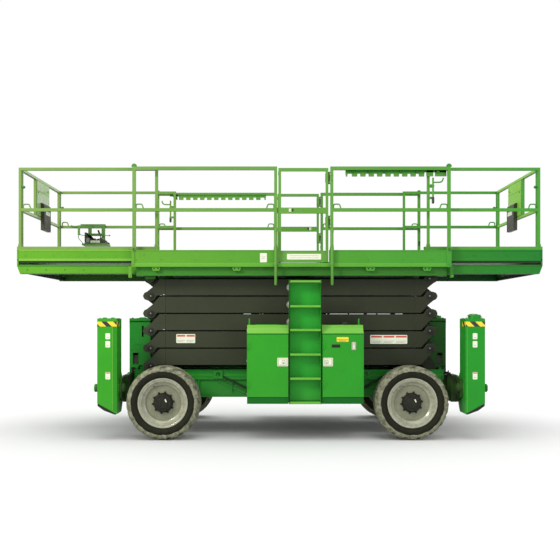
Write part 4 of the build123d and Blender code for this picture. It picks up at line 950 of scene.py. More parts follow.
# ================================================================ scissor stack
PITCH, LOW_PIN = 0.2056, 0.821
for level in range(1, 6):
    zc = LOW_PIN + (level - 0.5) * PITCH
    low, high = zc - PITCH / 2, zc + PITCH / 2
    k = Mesh()
    for side, s in SIDES:
        for x, z, d in ((-1.648, low, 1), (1.648, high, -1)):
            # boss, cap and grease nipple on each pin's end
            k.lathe("y", (x, 0, z), [(s * 0.720, 0.0285), (s * 0.720, 0.058), (s * 0.727, 0.056), (s * 0.730, 0.046), (s * 0.730, 0.0285)], 0, 36)
            k.dome("y", (x, 0, z), [(s * 0.734, 0), (s * 0.734, 0.036), (s * 0.740, 0.035), (s * 0.742, 0.030), (s * 0.742, 0)], 1, 32)
            k.dome("y", (x, 0, z), [(s * 0.741, 0), (s * 0.741, 0.0085), (s * 0.745, 0.008), (s * 0.747, 0.005), (s * 0.747, 0)], 5, 16)
            # doubler plate over the tip, its weld and a bolt
            m = -1 if x > 0 else 1
            tip = [(-1.482, -0.092), (-1.482, 0.092), (-1.548, 0.092), (-1.634, -0.002), (-1.694, -0.052), (-1.723, -0.066), (-1.738, -0.096),
                   (-1.738, -0.108), (-1.723, -0.138), (-1.687, -0.151), (-1.625, -0.151), (-1.576, -0.092)]
            pts = [(m * a, zc + (m * b)) for a, b in tip]
            k.prism("y", pts, s * 0.719, s * 0.7235, 0)
            k.box(m * -1.478, m * -1.484, s * 0.7195, s * 0.7245, zc - 0.090, zc + 0.090, 0)
            k.cyl("y", m * -1.545, zc - m * 0.012, 0.010, s * 0.7235, s * 0.7265, 0, 24)
        if level in (3, 5):
            k.box(-1.508, -1.486, s * 0.7195, s * 0.7245, zc - 0.0915, zc - 0.0830, 2)
        # grooves along the box beam: weld seams near its top and foot
        for dz in (-0.0925, 0.0885):
            k.box(-1.470, 1.470, s * 0.7195, s * 0.7215, zc + dz, zc + dz + 0.004, 0)
        k.box(-0.9, -0.896, s * 0.7195, s * 0.7210, zc - 0.088, zc + 0.088, 0)
        k.box(0.9, 0.904, s * 0.7195, s * 0.7210, zc - 0.088, zc + 0.088, 0)
        # ring round the middle trunnion's bore
        k.lathe("y", (0, 0, zc), [(s * 0.720, 0.053), (s * 0.720, 0.082), (s * 0.726, 0.080), (s * 0.726, 0.053)], 0, 40)
        if level == 2:
            for x0, x1, z0, z1 in ((-1.349, -1.125, 1.087, 1.193), (0.946, 1.384, 1.078, 1.182)):
                label(k, s, x0, x1, 0.720, z0, z1, 3, 0.0025)
                n = 2 if x1 - x0 < 0.3 else 3
                w = (x1 - x0) / n
                for i in range(n):
                    label(k, s, x0 + i * w + 0.010, x0 + (i + 1) * w - 0.006, 0.7225, z1 - 0.030, z1 - 0.010, 4, 0.0008)
                    k.box(x0 + i * w + 0.012, x0 + (i + 1) * w - 0.012, s * 0.7225, s * 0.7231, z0 + 0.030, z0 + 0.034, 5)
                    k.box(x0 + i * w + 0.012, x0 + (i + 1) * w - 0.030, s * 0.7225, s * 0.7231, z0 + 0.014, z0 + 0.018, 5)
    k.make(f"arm_fittings_outer_{level}", f"outer_arms_{level}", [M["scissor"], M["black"], M["zinc"], M["white"], M["red"], M["grey"]], bevel=0.0012)

    k = Mesh()
    for side, s in SIDES:
        # light cap on the middle trunnion
        k.dome("y", (0, 0, zc), [(s * 0.731, 0), (s * 0.731, 0.0455), (s * 0.735, 0.0455), (s * 0.737, 0.043), (s * 0.738, 0)], 2, 36)
        k.lathe("y", (0, 0, zc), [(s * 0.738, 0.020), (s * 0.738, 0.030), (s * 0.741, 0.028), (s * 0.741, 0.022)], 1, 28)
        for i in range(3):
            t = math.radians(90 + 120 * i)
            k.bolt("y", s, (0.036 * math.cos(t), s * 0.737, zc + 0.036 * math.sin(t)), 0.0048, 0.0035, 1, washer=False)
        # inner face bosses
        for x, z in ((1.648, low), (-1.648, high)):
            k.lathe("y", (x, 0, z), [(s * 0.540, 0.030), (s * 0.540, 0.060), (s * 0.534, 0.058), (s * 0.534, 0.030)], 0, 32) if not (level == 1 and x > 0) else None
        for dz in (-0.0925, 0.0885):
            k.box(-1.470, 1.470, s * 0.5385, s * 0.5405, zc + dz, zc + dz + 0.004, 0)
    k.make(f"arm_fittings_inner_{level}", f"inner_arms_{level}", [M["scissor"], M["zinc"], M["grey"]], bevel=0.0012)

# hose and cable trays along the beams' inner faces
for level in (1, 3, 5):
    zc = LOW_PIN + (level - 0.5) * PITCH
    k = Mesh()
    dz = 0.050 if level != 5 else -0.064
    for y, r in ((-0.508, 0.011), (-0.482, 0.008), (-0.462, 0.008)):
        k.tube([(-1.30, y, zc + dz), (-0.72, y, zc + dz + 0.002), (0.2, y, zc + dz), (1.30, y, zc + dz)], r, 0, 10)
    for x in (-1.2, -0.8, -0.4, 0.0, 0.4, 0.8, 1.2):
        k.box(x - 0.010, x + 0.010, -0.540, -0.448, zc + dz - 0.016, zc + dz - 0.012, 1)
        k.box(x - 0.010, x + 0.010, -0.452, -0.448, zc + dz - 0.012, zc + dz + 0.016, 1)
    if level == 3:
        # cable duct on the beam's upper edge, and the clips that carry on from it
        k.box(-1.460, -0.560, -0.5385, -0.5300, zc + 0.070, zc + 0.1130, 1)
        for x0, x1 in ((-0.360, -0.335), (-0.240, -0.225), (0.450, 0.480), (0.700, 0.715), (0.890, 0.930), (1.040, 1.060), (1.210, 1.270), (1.360, 1.375)):
            k.box(x0, x1, -0.5385, -0.5300, zc + 0.070, zc + 0.1110, 1)
    k.make(f"arm_hoses_{level}", f"inner_arms_{level}", [M["hose"], M["black"]])

# lift cylinders: glands, ports, bands
for name, level in (("lower", 1), ("upper", 3)):
    z1 = LOW_PIN + (level - 0.5) * PITCH
    p = Vector((-0.650, 0, z1 - 0.020))
    q = Vector((0.650, 0, z1 + PITCH - 0.020))
    u = (q - p).normalized()
    k = Mesh()
    for y in (-0.220, 0.220):
        at = lambda d: p + u * d + Vector((0, y, 0))
        k.tube([at(1.060), at(1.104)], 0.0765, 0, 36)
        k.tube([at(0.100), at(0.128)], 0.0740, 0, 36)
        for d in (0.30, 0.62, 0.92):
            k.tube([at(d), at(d + 0.022)], 0.0725, 1, 36)
        port = at(0.16) + Vector((0, 0, 0.070))
        k.tube([port - Vector((0, 0, 0.010)), port + Vector((0, 0, 0.018))], 0.016, 1, 14)
        k.tube([port + Vector((0, 0, 0.012)), port + u * 0.02 + Vector((0, 0, 0.020)), port + u * 0.12 + Vector((0, 0, 0.018)), at(0.98) + Vector((0, 0, 0.082)), at(1.02) + Vector((0, 0, 0.079))], 0.007, 2, 8)
    k.make(f"cylinder_fittings_{name}", f"cylinder_{name}", [M["black"], M["zinc"], M["hose"]], bevel=0.001)
    k = Mesh()
    for y in (-0.220, 0.220):
        c = q + Vector((0, y, 0))
        k.lathe("y", (c.x, c.y, c.z), [(-0.0465, 0.030), (-0.0465, 0.052), (-0.0435, 0.054), (-0.0435, 0.030)], 0, 30)
        k.lathe("y", (c.x, c.y, c.z), [(0.0435, 0.030), (0.0435, 0.054), (0.0465, 0.052), (0.0465, 0.030)], 0, 30)
    k.make(f"rod_eye_rings_{name}", f"rod_{name}", [M["black"]])

# ================================================================ platform
k = Mesh()
for side, s in SIDES:
    # folded lips on the side panels, the lower one in the lighter lip green as a painted highlight
    for x0, x1 in ((-1.8385, -0.149), (-0.147, 0.442), (0.444, 1.8595)):
        k.prism("x", [(s * 0.915, 1.974), (s * 0.9185, 1.977), (s * 0.9185, 2.012), (s * 0.915, 2.018)], x0, x1, 6)
        if not -0.2 < x0 < 0.3:
            k.prism("x", [(s * 0.915, 2.158), (s * 0.9180, 2.160), (s * 0.9180, 2.170), (s * 0.905, 2.1715), (s * 0.905, 2.170), (s * 0.915, 2.169)], x0, x1, 0)
    # flange strips that fold the panel's two ends
    for x0, x1 in ((-1.842, -1.806), (1.8025, 1.8605)):
        k.box(x0, x1, s * 0.9150, s * 0.9215, 1.972, 2.200, 0)
        for z in (2.005, 2.150):
            k.bolt("y", s, ((x0 + x1) / 2, s * 0.9215, z), 0.0060, 0.004, 0, washer=False)
    # hangers under the panel's ends that guide the sliding beams; the rear ones in the darker subframe green as painted
    # shade, with a bolt in the lighter lip green as a painted highlight
    k.box(-1.878, -1.840, s * 0.880, s * 0.9160, 1.851, 1.980, 0)
    k.box(-1.878, -1.862, s * 0.835, s * 0.8800, 1.851, 1.868, 0)
    k.box(1.846, 1.884, s * 0.880, s * 0.9160, 1.851, 1.980, 4)
    k.box(1.868, 1.884, s * 0.835, s * 0.8800, 1.851, 1.868, 4)
    k.bolt("y", s, (-1.859, s * 0.916, 1.872), 0.0080, 0.006, 0)
    k.bolt("y", s, (1.872, s * 0.916, 1.868), 0.0100, 0.006, 6)
    # bolts into the panel, and a row along its foot
    for x in (-1.79, -1.50, -1.10, -0.70, -0.25, 0.52, 0.90, 1.30, 1.62):
        k.bolt("y", s, (x, s * 0.915, 2.060), 0.007, 0.005, 0, washer=False)
    for x in (-1.7, -0.176, 0.475, 1.72):
        k.bolt("y", s, (x, s * 0.915, 2.120), 0.007, 0.005, 0)
    # blank plates
    label(k, s, -0.355, -0.275, 0.915, 2.027, 2.134, 2)
    k.box(-0.340, -0.290, s * 0.915, s * 0.9168, 2.088, 2.092, 3)
    k.box(-0.340, -0.300, s * 0.915, s * 0.9168, 2.068, 2.072, 3)
    # hanging tabs with an eye, drawn as near-black discs: painted shade in the holes
    for x0, x1 in ((-1.611, -1.512), (-0.679, -0.575), (0.868, 0.982), (1.530, 1.634)):
        c = (x0 + x1) / 2
        k.prism("y", [(x0, 1.985), (x1, 1.985), (x1 - 0.004, 1.950), (x1 - 0.016, 1.929), (x0 + 0.016, 1.929), (x0 + 0.004, 1.950)], s * 0.893, s * 0.9035, 0)
        for d in (-0.022, 0.022):
            k.cyl("y", c + d, 1.956, 0.0085, s * 0.9030, s * 0.9048, 5, 20)
        k.box(x0, x1, s * 0.868, s * 0.905, 1.985, 1.992, 0)
    # lower lip and stiffeners of the subframe channel
    k.prism("x", [(s * 0.868, 1.874), (s * 0.8725, 1.876), (s * 0.8725, 1.902), (s * 0.868, 1.906)], -1.797, 1.818, 4)
    k.box(-1.797, 1.818, s * 0.868, s * 0.8715, 1.990, 2.004, 4)
    for x in (-1.76, -1.38, -0.98, -0.30, 0.14, 0.60, 1.16, 1.44, 1.78):
        k.bolt("y", s, (x, s * 0.868, 1.948), 0.009, 0.007, 4)
k.make("deck_trim", "platform", [M["main_deck"], M["deck"], M["white"], M["grey"], M["subframe"], M["shade"], M["lip_main"]], bevel=0.0012)


def checker(name, body, x0, x1, y1, z, pitch=0.042):
    """Raised lozenges of a chequered floor plate, turned one way and the other by rows."""
    k = Mesh()
    nx, ny = int((x1 - x0 - 0.03) / pitch), int((2 * y1 - 0.03) / pitch)
    ax, ay = (x0 + x1) / 2 - (nx - 1) * pitch / 2, -(ny - 1) * pitch / 2
    for i in range(nx):
        for j in range(ny):
            cx, cy = ax + i * pitch, ay + j * pitch
            t = math.radians(45 if (i + j) % 2 else -45)
            ux, uy = math.cos(t), math.sin(t)
            L, W = 0.0145, 0.0040
            base = [(cx + ux * L, cy + uy * L), (cx - uy * W, cy + ux * W), (cx - ux * L, cy - uy * L), (cx + uy * W, cy - ux * W)]
            v = [(a, b, z - 0.0004) for a, b in base] + [(cx + (a - cx) * 0.62, cy + (b - cy) * 0.62, z + 0.0016) for a, b in base]
            k.add(v, [(3, 2, 1, 0), (4, 5, 6, 7), (0, 1, 5, 4), (1, 2, 6, 5), (2, 3, 7, 6), (3, 0, 4, 7)], 0)
    return k.make(name, body, [M["floor_plate"]])


checker("deck_floor_tread", "platform", -1.832, 1.853, 0.895, 2.020)
checker("front_extension_tread", "front_extension", -3.184, -1.544, 0.824, 2.057)
checker("rear_extension_tread", "rear_extension", 1.570, 2.933, 0.824, 2.057)


# ---------------------------------------------------------------- guard rails
def collar(k, x0, x1, y0, y1, z0, z1, t=0.004, mat=0):
    """A sleeve t thick round an upright of that section."""
    k.box(x0 - t, x1 + t, y0 - t if y0 < y1 else y0 + t, y1 + t if y0 < y1 else y1 - t, z0, z1, mat)


def weld(k, axis, p, a, b, r=0.0035, mat=0):
    """A fillet bead along an axis at p (the other two axes, in order) from a to b."""
    k.cyl(axis, p[0], p[1], r, a, b, mat, 8)


def d_loop(k, x, y, z, lean, half=0.042, rise=0.048, r=0.0078, mat=0):
    """A bent-rod eye standing on a rail: upright at one leg, flat on top, slanted on the side it leans to."""
    q = lambda u, w: (x + lean * u, y, z + w)
    pts = [q(-half, -0.002), q(-half, rise * 0.55), q(-half * 0.93, rise * 0.82), q(-half * 0.72, rise * 0.97), q(-half * 0.40, rise),
           q(half * 0.25, rise), q(half * 0.52, rise * 0.96), q(half * 0.70, rise * 0.80), q(half * 0.82, rise * 0.50), q(half * 0.96, rise * 0.14), q(half, -0.002)]
    k.tube(pts, r, mat, 12)
    for d in (-half, half):
        k.lathe("z", (x + lean * d, y, z), [(0.0, 0.006), (0.0, 0.0115), (0.004, 0.0090), (0.004, 0.006)], mat, 14)


k = Mesh()
for side, s in SIDES:
    y0, y1 = 0.880, 0.912
    for x0, x1 in ((-1.834, -1.795), (-0.191, -0.156), (0.460, 0.495), (1.818, 1.855)):
        c = (x0 + x1) / 2
        # foot sleeve, and the lock pin that holds the stake
        k.box(x0 - 0.005, x1 + 0.005, s * 0.876, s * 0.9165, 2.1720, 2.2040, 0)
        k.cyl("y", c, 2.190, 0.0065, s * 0.868, s * 0.9215, 2, 14)
        k.tube([(c, s * 0.9215, 2.190), (c - 0.010, s * 0.925, 2.183), (c - 0.012, s * 0.925, 2.166), (c, s * 0.925, 2.158), (c + 0.012, s * 0.925, 2.166), (c + 0.010, s * 0.925, 2.183), (c, s * 0.9215, 2.190)], 0.0022, 2, 6)
        # weld beads at the top and middle rails
        inner = x1 if c in ((-1.834 - 1.795) / 2, (0.460 + 0.495) / 2) else x0
        weld(k, "y", (inner, 3.098), s * 0.882, s * 0.910)
        for z in (2.618, 2.656):
            weld(k, "y", (inner, z), s * 0.882, s * 0.910)
    # end posts: lug eye, harness ring, rubber buffer
    for c, e in ((-1.8145, -1), (1.8365, 1)):
        k.lathe("y", (c, 0, 3.157), [(s * 0.8885, 0.0095), (s * 0.8885, 0.0150), (s * 0.9035, 0.0150), (s * 0.9035, 0.0095)], 0, 24)
        k.cyl("y", c, 3.157, 0.0094, s * 0.8895, s * 0.9028, 2, 20)
        k.prism("y", [(c - 0.031, 3.139), (c + 0.031, 3.139), (c + 0.029, 3.154), (c + 0.0175, 3.1695), (c, 3.1755), (c - 0.0175, 3.1695), (c - 0.029, 3.154)], s * 0.9015, s * 0.9030, 3)
        k.box(c - 0.010, c + 0.010, s * 0.874, s * 0.880, 2.40, 2.46, 2)
    # D loops on the middle rail
    for x, lean in ((-1.751, 1), (-0.236, -1), (0.540, 1), (1.773, -1)):
        d_loop(k, x, s * 0.896, 2.656, lean, mat=1)
    # entry handles: rounded ends and stand-off collars
    for x in (-0.173, 0.477):
        k.dome("z", (x, s * 0.950, 2.400), [(-0.001, 0), (-0.001, 0.0160), (0.006, 0.0145), (0.011, 0.009), (0.0125, 0)], 0, 20)
        k.dome("z", (x, s * 0.950, 1.770), [(0.001, 0), (0.001, 0.0160), (-0.006, 0.0145), (-0.011, 0.009), (-0.0125, 0)], 0, 20)
        for z in (2.385, 2.215):
            k.lathe("z", (x, s * 0.950, z), [(-0.012, 0.0155), (-0.012, 0.0185), (0.012, 0.0185), (0.012, 0.0155)], 0, 24)
            k.box(x - 0.014, x + 0.014, s * 0.912, s * 0.9145, z - 0.016, z + 0.016, 0)
        k.lathe("z", (x, s * 0.950, 2.010), [(-0.020, 0.0155), (-0.020, 0.0195), (0.020, 0.0195), (0.020, 0.0155)], 0, 24)
        k.box(x - 0.012, x + 0.012, s * 0.917, s * 0.938, 1.996, 2.014, 0)
        for z in (1.835, 1.90, 2.08, 2.13, 2.28, 2.34):
            k.lathe("z", (x, s * 0.950, z), [(-0.0015, 0.0158), (0.0, 0.0170), (0.0015, 0.0158), (0.0, 0.0150)], 0, 20)
    # gate post: black latch striker and hinge brackets
    k.box(-0.156, -0.150, s * 0.884, s * 0.902, 2.600, 2.660, 2)
    for z0, z1 in ((2.430, 2.438), (2.564, 2.572), (2.940, 2.948), (3.072, 3.080)):
        k.cyl("z", 0.4485, s * 0.877, 0.0105, z0, z1, 2, 20)
        k.box(0.4485, 0.462, s * 0.868, s * 0.886, z0, z1, 2)
    for z in (2.472, 2.530, 2.982, 3.038):
        k.bolt("y", s, (0.4775, s * 0.912, z), 0.0062, 0.005, 1)


def rack(k, s, x0, x1, blocks):
    """A toothed locking bar under the top rail, between it and the sliding rail."""
    a, b = s * 0.847, s * 0.861
    k.box(x0, x1, a, b, 3.066, 3.107, 3)
    d = 1 if x1 > x0 else -1
    u = x0
    while (x1 - d * 0.030 - (u + d * 0.068)) * d > -0.002:
        k.prism("y", [(u, 3.070), (u + d * 0.068, 3.070), (u + d * 0.064, 3.032), (u + d * 0.004, 3.032)], a, b, 0)
        u += d * 0.0975
    # half a tooth at the inboard end
    k.prism("y", [(x1, 3.070), (x1 - d * 0.026, 3.070), (x1 - d * 0.022, 3.032), (x1 - d * 0.004, 3.032)], a, b, 0)
    k.box(x0, x1, a + (0.0005 if s < 0 else -0.0005), b - (0.0005 if s < 0 else -0.0005), 3.064, 3.078, 0)
    for p, q in blocks:
        k.box(p, q, a, b, 3.034, 3.107, 0)
    n = 5
    for i in range(n):
        x = x0 + (x1 - x0) * (i + 0.5) / n
        k.box(x - 0.014, x + 0.014, s * 0.861, s * 0.881, 3.074, 3.092, 3)
        k.bolt("y", -s, (x, s * 0.847, 3.082), 0.006, 0.005, 3)


rack(k, -1, 1.560, 0.640, ((1.582, 1.663), (1.683, 1.816)))
k.box(1.560, 1.816, -0.861, -0.847, 3.080, 3.107, 3)
k.box(1.700, 1.728, -0.881, -0.861, 3.074, 3.092, 0)
rack(k, 1, -1.516, -0.302, ((-1.572, -1.535),))
k.box(-1.640, -1.515, 0.847, 0.861, 3.080, 3.107, 3)
k.box(-1.600, -1.572, 0.861, 0.881, 3.074, 3.092, 0)
k.make("guardrail_fittings", "platform", [M["rail"], M["rail"], M["plastic"], M["rail_dark"]], bevel=0.001)

# gates
for side, s in SIDES:
    k = Mesh()
    x0, x1 = -0.142, 0.437
    for x in (x0 + 0.032, x1 - 0.031):
        for z in (3.085, 2.663, 2.595):
            weld(k, "y", (x, z), s * 0.882, s * 0.903)
    for z0, z1 in ((2.440, 2.562), (2.950, 3.070)):
        k.box(x1 - 0.034, x1 + 0.004, s * 0.8700, s * 0.8735, z0 + 0.006, z1 - 0.006, 2 if s < 0 else 0)
        for z in (z0 + 0.030, z1 - 0.030):
            k.bolt("y", -s, (x1 - 0.022, s * 0.8700, z), 0.0065, 0.005, 2 if s < 0 else 0)
        k.lathe("z", (0.4485, s * 0.877, z0 + 0.061), [(-0.040, 0.0078), (-0.040, 0.0098), (0.040, 0.0098), (0.040, 0.0078)], 2, 20)
    # latch on the middle rail, closing edge with its black bumper
    u, f, g = (-0.021, 0.9025, 1) if s < 0 else (0.300, 0.8835, -1)
    w = 1 if s < 0 else -1
    k.box(u, u + 0.029, s * f, s * (f + g * 0.0045), 2.616, 2.651, 3)
    a = u + 0.029 if s < 0 else u
    k.box(a, a + w * 0.025, s * f, s * (f + g * 0.0060), 2.619, 2.648, 2)
    k.cyl("y", u + 0.015, 2.6335, 0.006, s * (f + g * 0.004), s * (f + g * 0.006), 4, 18)
    k.box(a + w * 0.008, a + w * 0.017, s * (f + g * 0.005), s * (f + g * 0.0095), 2.624, 2.643, 2)
    k.box(x0 - 0.003, x0 + 0.001, s * 0.886, s * 0.900, 2.606, 2.652, 2)
    k.box(x0 - 0.003, x0 + 0.001, s * 0.886, s * 0.900, 3.040, 3.080, 2)
    k.tube([(-0.118, s * 0.876, 2.700), (-0.118, s * 0.852, 2.704), (-0.118, s * 0.842, 2.716), (-0.118, s * 0.842, 2.800), (-0.118, s * 0.852, 2.812), (-0.118, s * 0.880, 2.816)], 0.006, 2, 10)
    # toe panel: folded edge, blank placard
    k.box(x0 + 0.032, x1 - 0.031, s * 0.893, s * 0.907, 2.156, 2.1640, 0)
    k.box(x0 + 0.032, x1 - 0.031, s * 0.893, s * 0.907, 2.029, 2.0350, 0)
    label(k, s, -0.043, 0.353, 0.905, 2.060, 2.126, 3)
    for z in (2.080, 2.104):
        k.box(-0.010, 0.322, s * 0.905, s * 0.9068, z, z + 0.003, 4)
    for x in (x0 + 0.040, x1 - 0.040):
        for z in (2.050, 2.140):
            k.bolt("y", s, (x, s * 0.905, z), 0.0055, 0.004, 0)
    # spring plunger at the foot
    k.cyl("z", x0 + 0.016, s * 0.8925, 0.012, 2.024, 2.033, 2, 16)
    k.make(f"gate_fittings_{side}", f"gate_{side}", [M["rail"], M["zinc"], M["plastic"], M["white"], M["grey"]], bevel=0.0008)

# sliding decks and their rails
for end, e, xin, xout, pin, pout in (("front", -1, -1.540, -3.196, (-1.584, -1.550), (-3.178, -3.148)), ("rear", 1, 1.566, 2.945, (1.597, 1.628), (2.891, 2.921))):
    k = Mesh()
    for side, s in SIDES:
        lo, hi = sorted((xin, xout - e * 0.008))
        # panel lips, in the lighter lip green on the front deck as a painted highlight, its outer end's fold, beads and
        # bolts
        k.prism("x", [(s * 0.835, 2.047), (s * 0.8385, 2.050), (s * 0.8385, 2.072), (s * 0.835, 2.076)], lo, hi, 6)
        k.prism("x", [(s * 0.835, 2.164), (s * 0.8385, 2.167), (s * 0.8385, 2.177), (s * 0.835, 2.180)], lo, hi, 6)
        k.box(xout - e * 0.001, xout - e * 0.020, s * 0.835, s * 0.8385, 2.000, 2.180, 0)
        for t in (0.10, 0.42, 0.80, 1.16, 1.44):
            x = xout - e * t
            if (x - xin) * e < 0.06:
                continue
            k.bolt("y", s, (x, s * 0.835, 2.112), 0.007, 0.005, 0, washer=False)
        # beam: lip at the top, web stiffeners, wear pads, and the row of holes' bushes
        k.box(lo + 0.01, hi - 0.01, s * 0.833, s * 0.8355, 1.984, 1.996, 2)
        k.box(lo + (0.045 if e < 0 else 0.01), hi - (0.01 if e < 0 else 0.045), s * 0.833, s * 0.8345, 1.898, 1.908, 2)
        k.box(lo, hi, s * 0.800, s * 0.829, 1.997, 2.006, 2)
        # a near-black strip in the gap under the panel: painted shade
        k.box(lo, hi, s * 0.815, s * 0.829, 2.0235, 2.0470, 5)
        # pads under the panel in the near-black shade green as painted shade, above the main deck's floor so that they
        # clear it as the deck slides in
        for t in (0.200, 0.620, 1.040):
            x = xout - e * t
            k.box(x - 0.060, x + 0.060, s * 0.8290, s * 0.8320, 2.0250, 2.0420, 5)
        for t in (0.12, 0.34, 0.56, 0.78):
            k.cyl("y", xout - e * t, 1.946, 0.010, s * 0.833, s * 0.8348, 2, 20)
        # posts
        for a, b in (pin, pout):
            c = (a + b) / 2
            k.box(min(a, b) - 0.005, max(a, b) + 0.005, s * 0.796, s * 0.8345, 2.2180, 2.2460, 3)
            for z in (3.108, 2.667, 2.631, 2.218):
                for x in (a, b):
                    if min(abs(x - pin[0]), abs(x - pin[1])) < 1e-6 and (x - c) * e < 0:
                        continue
                    if min(abs(x - pout[0]), abs(x - pout[1])) < 1e-6 and (x - c) * e > 0:
                        continue
                    weld(k, "y", (x, z), s * 0.802, s * 0.827, mat=3)
        # D loop by the end post, and a spring knob on the post's inboard face
        lx = -3.085 if e < 0 else 2.830
        d_loop(k, lx, s * 0.8145, 2.667, 1 if e < 0 else -1, mat=3)
        c = (pout[0] + pout[1]) / 2
        edge = pout[1] if e < 0 else pout[0]
        k.cyl("x", s * 0.8145, 2.915, 0.0090, edge, edge - e * 0.016, 7, 20)
        k.dome("x", (edge, s * 0.8145, 2.915), [(-e * 0.014, 0), (-e * 0.014, 0.0120), (-e * 0.020, 0.0165), (-e * 0.034, 0.0160), (-e * 0.042, 0.0090), (-e * 0.043, 0)], 7, 20)
        # caps at the inner ends
        ci = (pin[0] + pin[1]) / 2
        k.box(xin + e * 0.0, xin - e * 0.006, s * 0.803, s * 0.830, 2.186, 2.214, 2)
        # roller that runs in the deck's channel
        k.cyl("y", xin + e * 0.060, 1.890, 0.0065, s * 0.790, s * 0.832, 1, 16)
        # middle rail welds on the end frame
        for z in (3.108, 2.667, 2.631, 2.218):
            weld(k, "x", (s * 0.748, z), pout[0] + 0.002, pout[1] - 0.002, mat=3)
    # end frame: plate beads, creases and its two marks
    inside = pout[1] if e < 0 else pout[0]
    for y in (-0.240, 0.270):
        k.box(inside - e * 0.001, inside + e * 0.010, y - 0.004, y + 0.004, 2.667, 3.108, 3)
    k.box(inside, inside - e * 0.003, -0.232, 0.262, 2.978, 2.984, 3)
    # thin overlays on the end frame's inner face in the end plate paint: painted sheen, pale at the front as a painted
    # reflection
    for z0, z1 in ((3.111, 3.139), (2.635, 2.663)):
        k.box(inside - e * 0.0002, inside - e * 0.0016, -0.744, 0.744, z0, z1, 8)
    k.box(inside - e * 0.0003, inside - e * 0.0026, -0.236, 0.266, 2.671, 3.104, 8)
    for y, z in ((-0.185, 2.965), (0.210, 3.030)):
        k.cyl("x", y, z, 0.0105, inside - e * 0.0055, inside - e * 0.001, 7, 20)
    for z in (2.720, 2.880):
        k.cyl("x", 0.235, z, 0.006, inside - e * 0.0045, inside - e * 0.001, 3, 16)
    # end plate of the deck: ribs, reflectors left plain, bolts and buffer blocks
    k.box(xout, xout + e * 0.003, -0.800, 0.800, 2.160, 2.172, 0)
    k.box(xout, xout + e * 0.003, -0.800, 0.800, 2.010, 2.022, 0)
    for y in (-0.72, -0.36, 0.0, 0.36, 0.72):
        k.bolt("x", e, (xout, y, 2.090), 0.008, 0.006, 1)
    for y in (-0.780, 0.780):
        k.box(xout, xout + e * 0.006, y - 0.030, y + 0.030, 2.050, 2.130, 4)
    # cross plate that closes the beams' outer ends, in the near-black shade green as painted shade
    cx = -3.100 if e < 0 else 2.900
    k.prism("y", [(cx - 0.005, 1.9495), (cx + 0.005, 1.9495), (cx + 0.005 - e * 0.010, 1.898), (cx - 0.005 - e * 0.010, 1.898)], -0.799, 0.799, 5)
    # light bars under the outer cross beam
    for y in (-0.50, 0.50):
        k.box(xout - e * 0.058, xout - e * 0.012, y - 0.060, y + 0.060, 1.938, 1.950, 2)
    k.make(f"{end}_extension_trim", f"{end}_extension", [M["deck"], M["rail"], M["subframe"], M["rail"], M["hose"], M["shade"], M["lip"] if e < 0 else M["deck"], M["rail_dark"], M[f"end_plate_{end}"]], bevel=0.001)

    # document box: rim, hinge, clasp and a blank plate
    k = Mesh()
    f = inside - e * 0.044
    k.box(f, f - e * 0.003, -0.090, 0.185, 2.770, 2.790, 0)
    k.box(f, f - e * 0.003, -0.090, 0.185, 2.504, 2.512, 0)
    for y in (-0.090, 0.179):
        k.box(f, f - e * 0.003, y, y + 0.006, 2.512, 2.770, 0)
    k.box(f, f - e * 0.008, 0.034, 0.062, 2.756, 2.788, 0)
    k.box(f, f - e * 0.0042, -0.020, 0.150, 2.700, 2.750, 2)
    for z in (2.714, 2.730):
        k.box(f, f - e * 0.0050, -0.008, 0.130, z, z + 0.003, 3)
    k.prism("y", [(inside, 2.843), (inside - e * 0.022, 2.842), (inside - e * 0.038, 2.832), (inside - e * 0.047, 2.812), (inside - e * 0.0475, 2.786), (inside - e * 0.040, 2.786), (inside - e * 0.004, 2.826), (inside, 2.830)], -0.097, 0.192, 0)
    k.cyl("y", inside - e * 0.004, 2.838, 0.005, -0.097, 0.192, 0, 12)
    k.make(f"document_box_trim_{end}", f"{end}_extension", [M["olive"], M["zinc"], M["white"], M["grey"]], bevel=0.0012)


def latch_handle(name, body, s, x, e, arm):
    """Handle that locks a sliding rail: upright rod with a dark tip, and an arm that turns up at its end."""
    k = Mesh()
    y = s * 0.8455
    k.tube([(x, y, 2.788), (x, y, 2.860), (x, y, 2.940), (x, y, 3.016)], 0.0110, 0, 16)
    k.dome("z", (x, y, 3.014), [(0, 0), (0, 0.0110), (0.005, 0.0095), (0.008, 0.005), (0.009, 0)], 0, 16)
    k.tube([(x, y, 2.966), (x + e * 0.040, y, 2.966), (x + e * 0.078, y, 2.967), (x + e * 0.096, y, 2.972), (x + e * 0.108, y, 2.983), (x + e * 0.114, y, 2.998), (x + e * arm, y, 3.018)], 0.0085, 0, 12)
    k.tube([(x, y, 2.726), (x, y, 2.760), (x, y, 2.792)], 0.0155, 1, 16)
    k.dome("z", (x, y, 2.728), [(0, 0), (0, 0.0155), (-0.006, 0.0140), (-0.010, 0.008), (-0.011, 0)], 1, 16)
    # flange from the post, and the guide it turns in
    k.box(min(x, x - e * 0.046), max(x, x - e * 0.046), s * 0.829, s * 0.836, 2.772, 2.800, 2)
    k.box(x - 0.013, x + 0.013, s * 0.831, s * 0.8480, 2.776, 2.796, 2)
    k.box(min(x, x - e * 0.046), max(x, x - e * 0.046), s * 0.829, s * 0.836, 2.905, 2.945, 2)
    k.box(x - 0.014, x + 0.014, s * 0.833, s * 0.8580, 2.914, 2.936, 2)
    k.bolt("y", s, (x - e * 0.030, s * 0.836, 2.925), 0.006, 0.005, 2)
    k.make(name, body, [M["rail"], M["plastic"], M["rail"]], bevel=0.0008)


latch_handle("latch_handle_rear", "rear_extension", -1, 1.6625, 1, 0.122)
latch_handle("latch_handle_front", "front_extension", 1, -1.6310, -1, 0.118)

# ---------------------------------------------------------------- operator's console
k = Mesh()
yb, yf = 0.600, 0.770
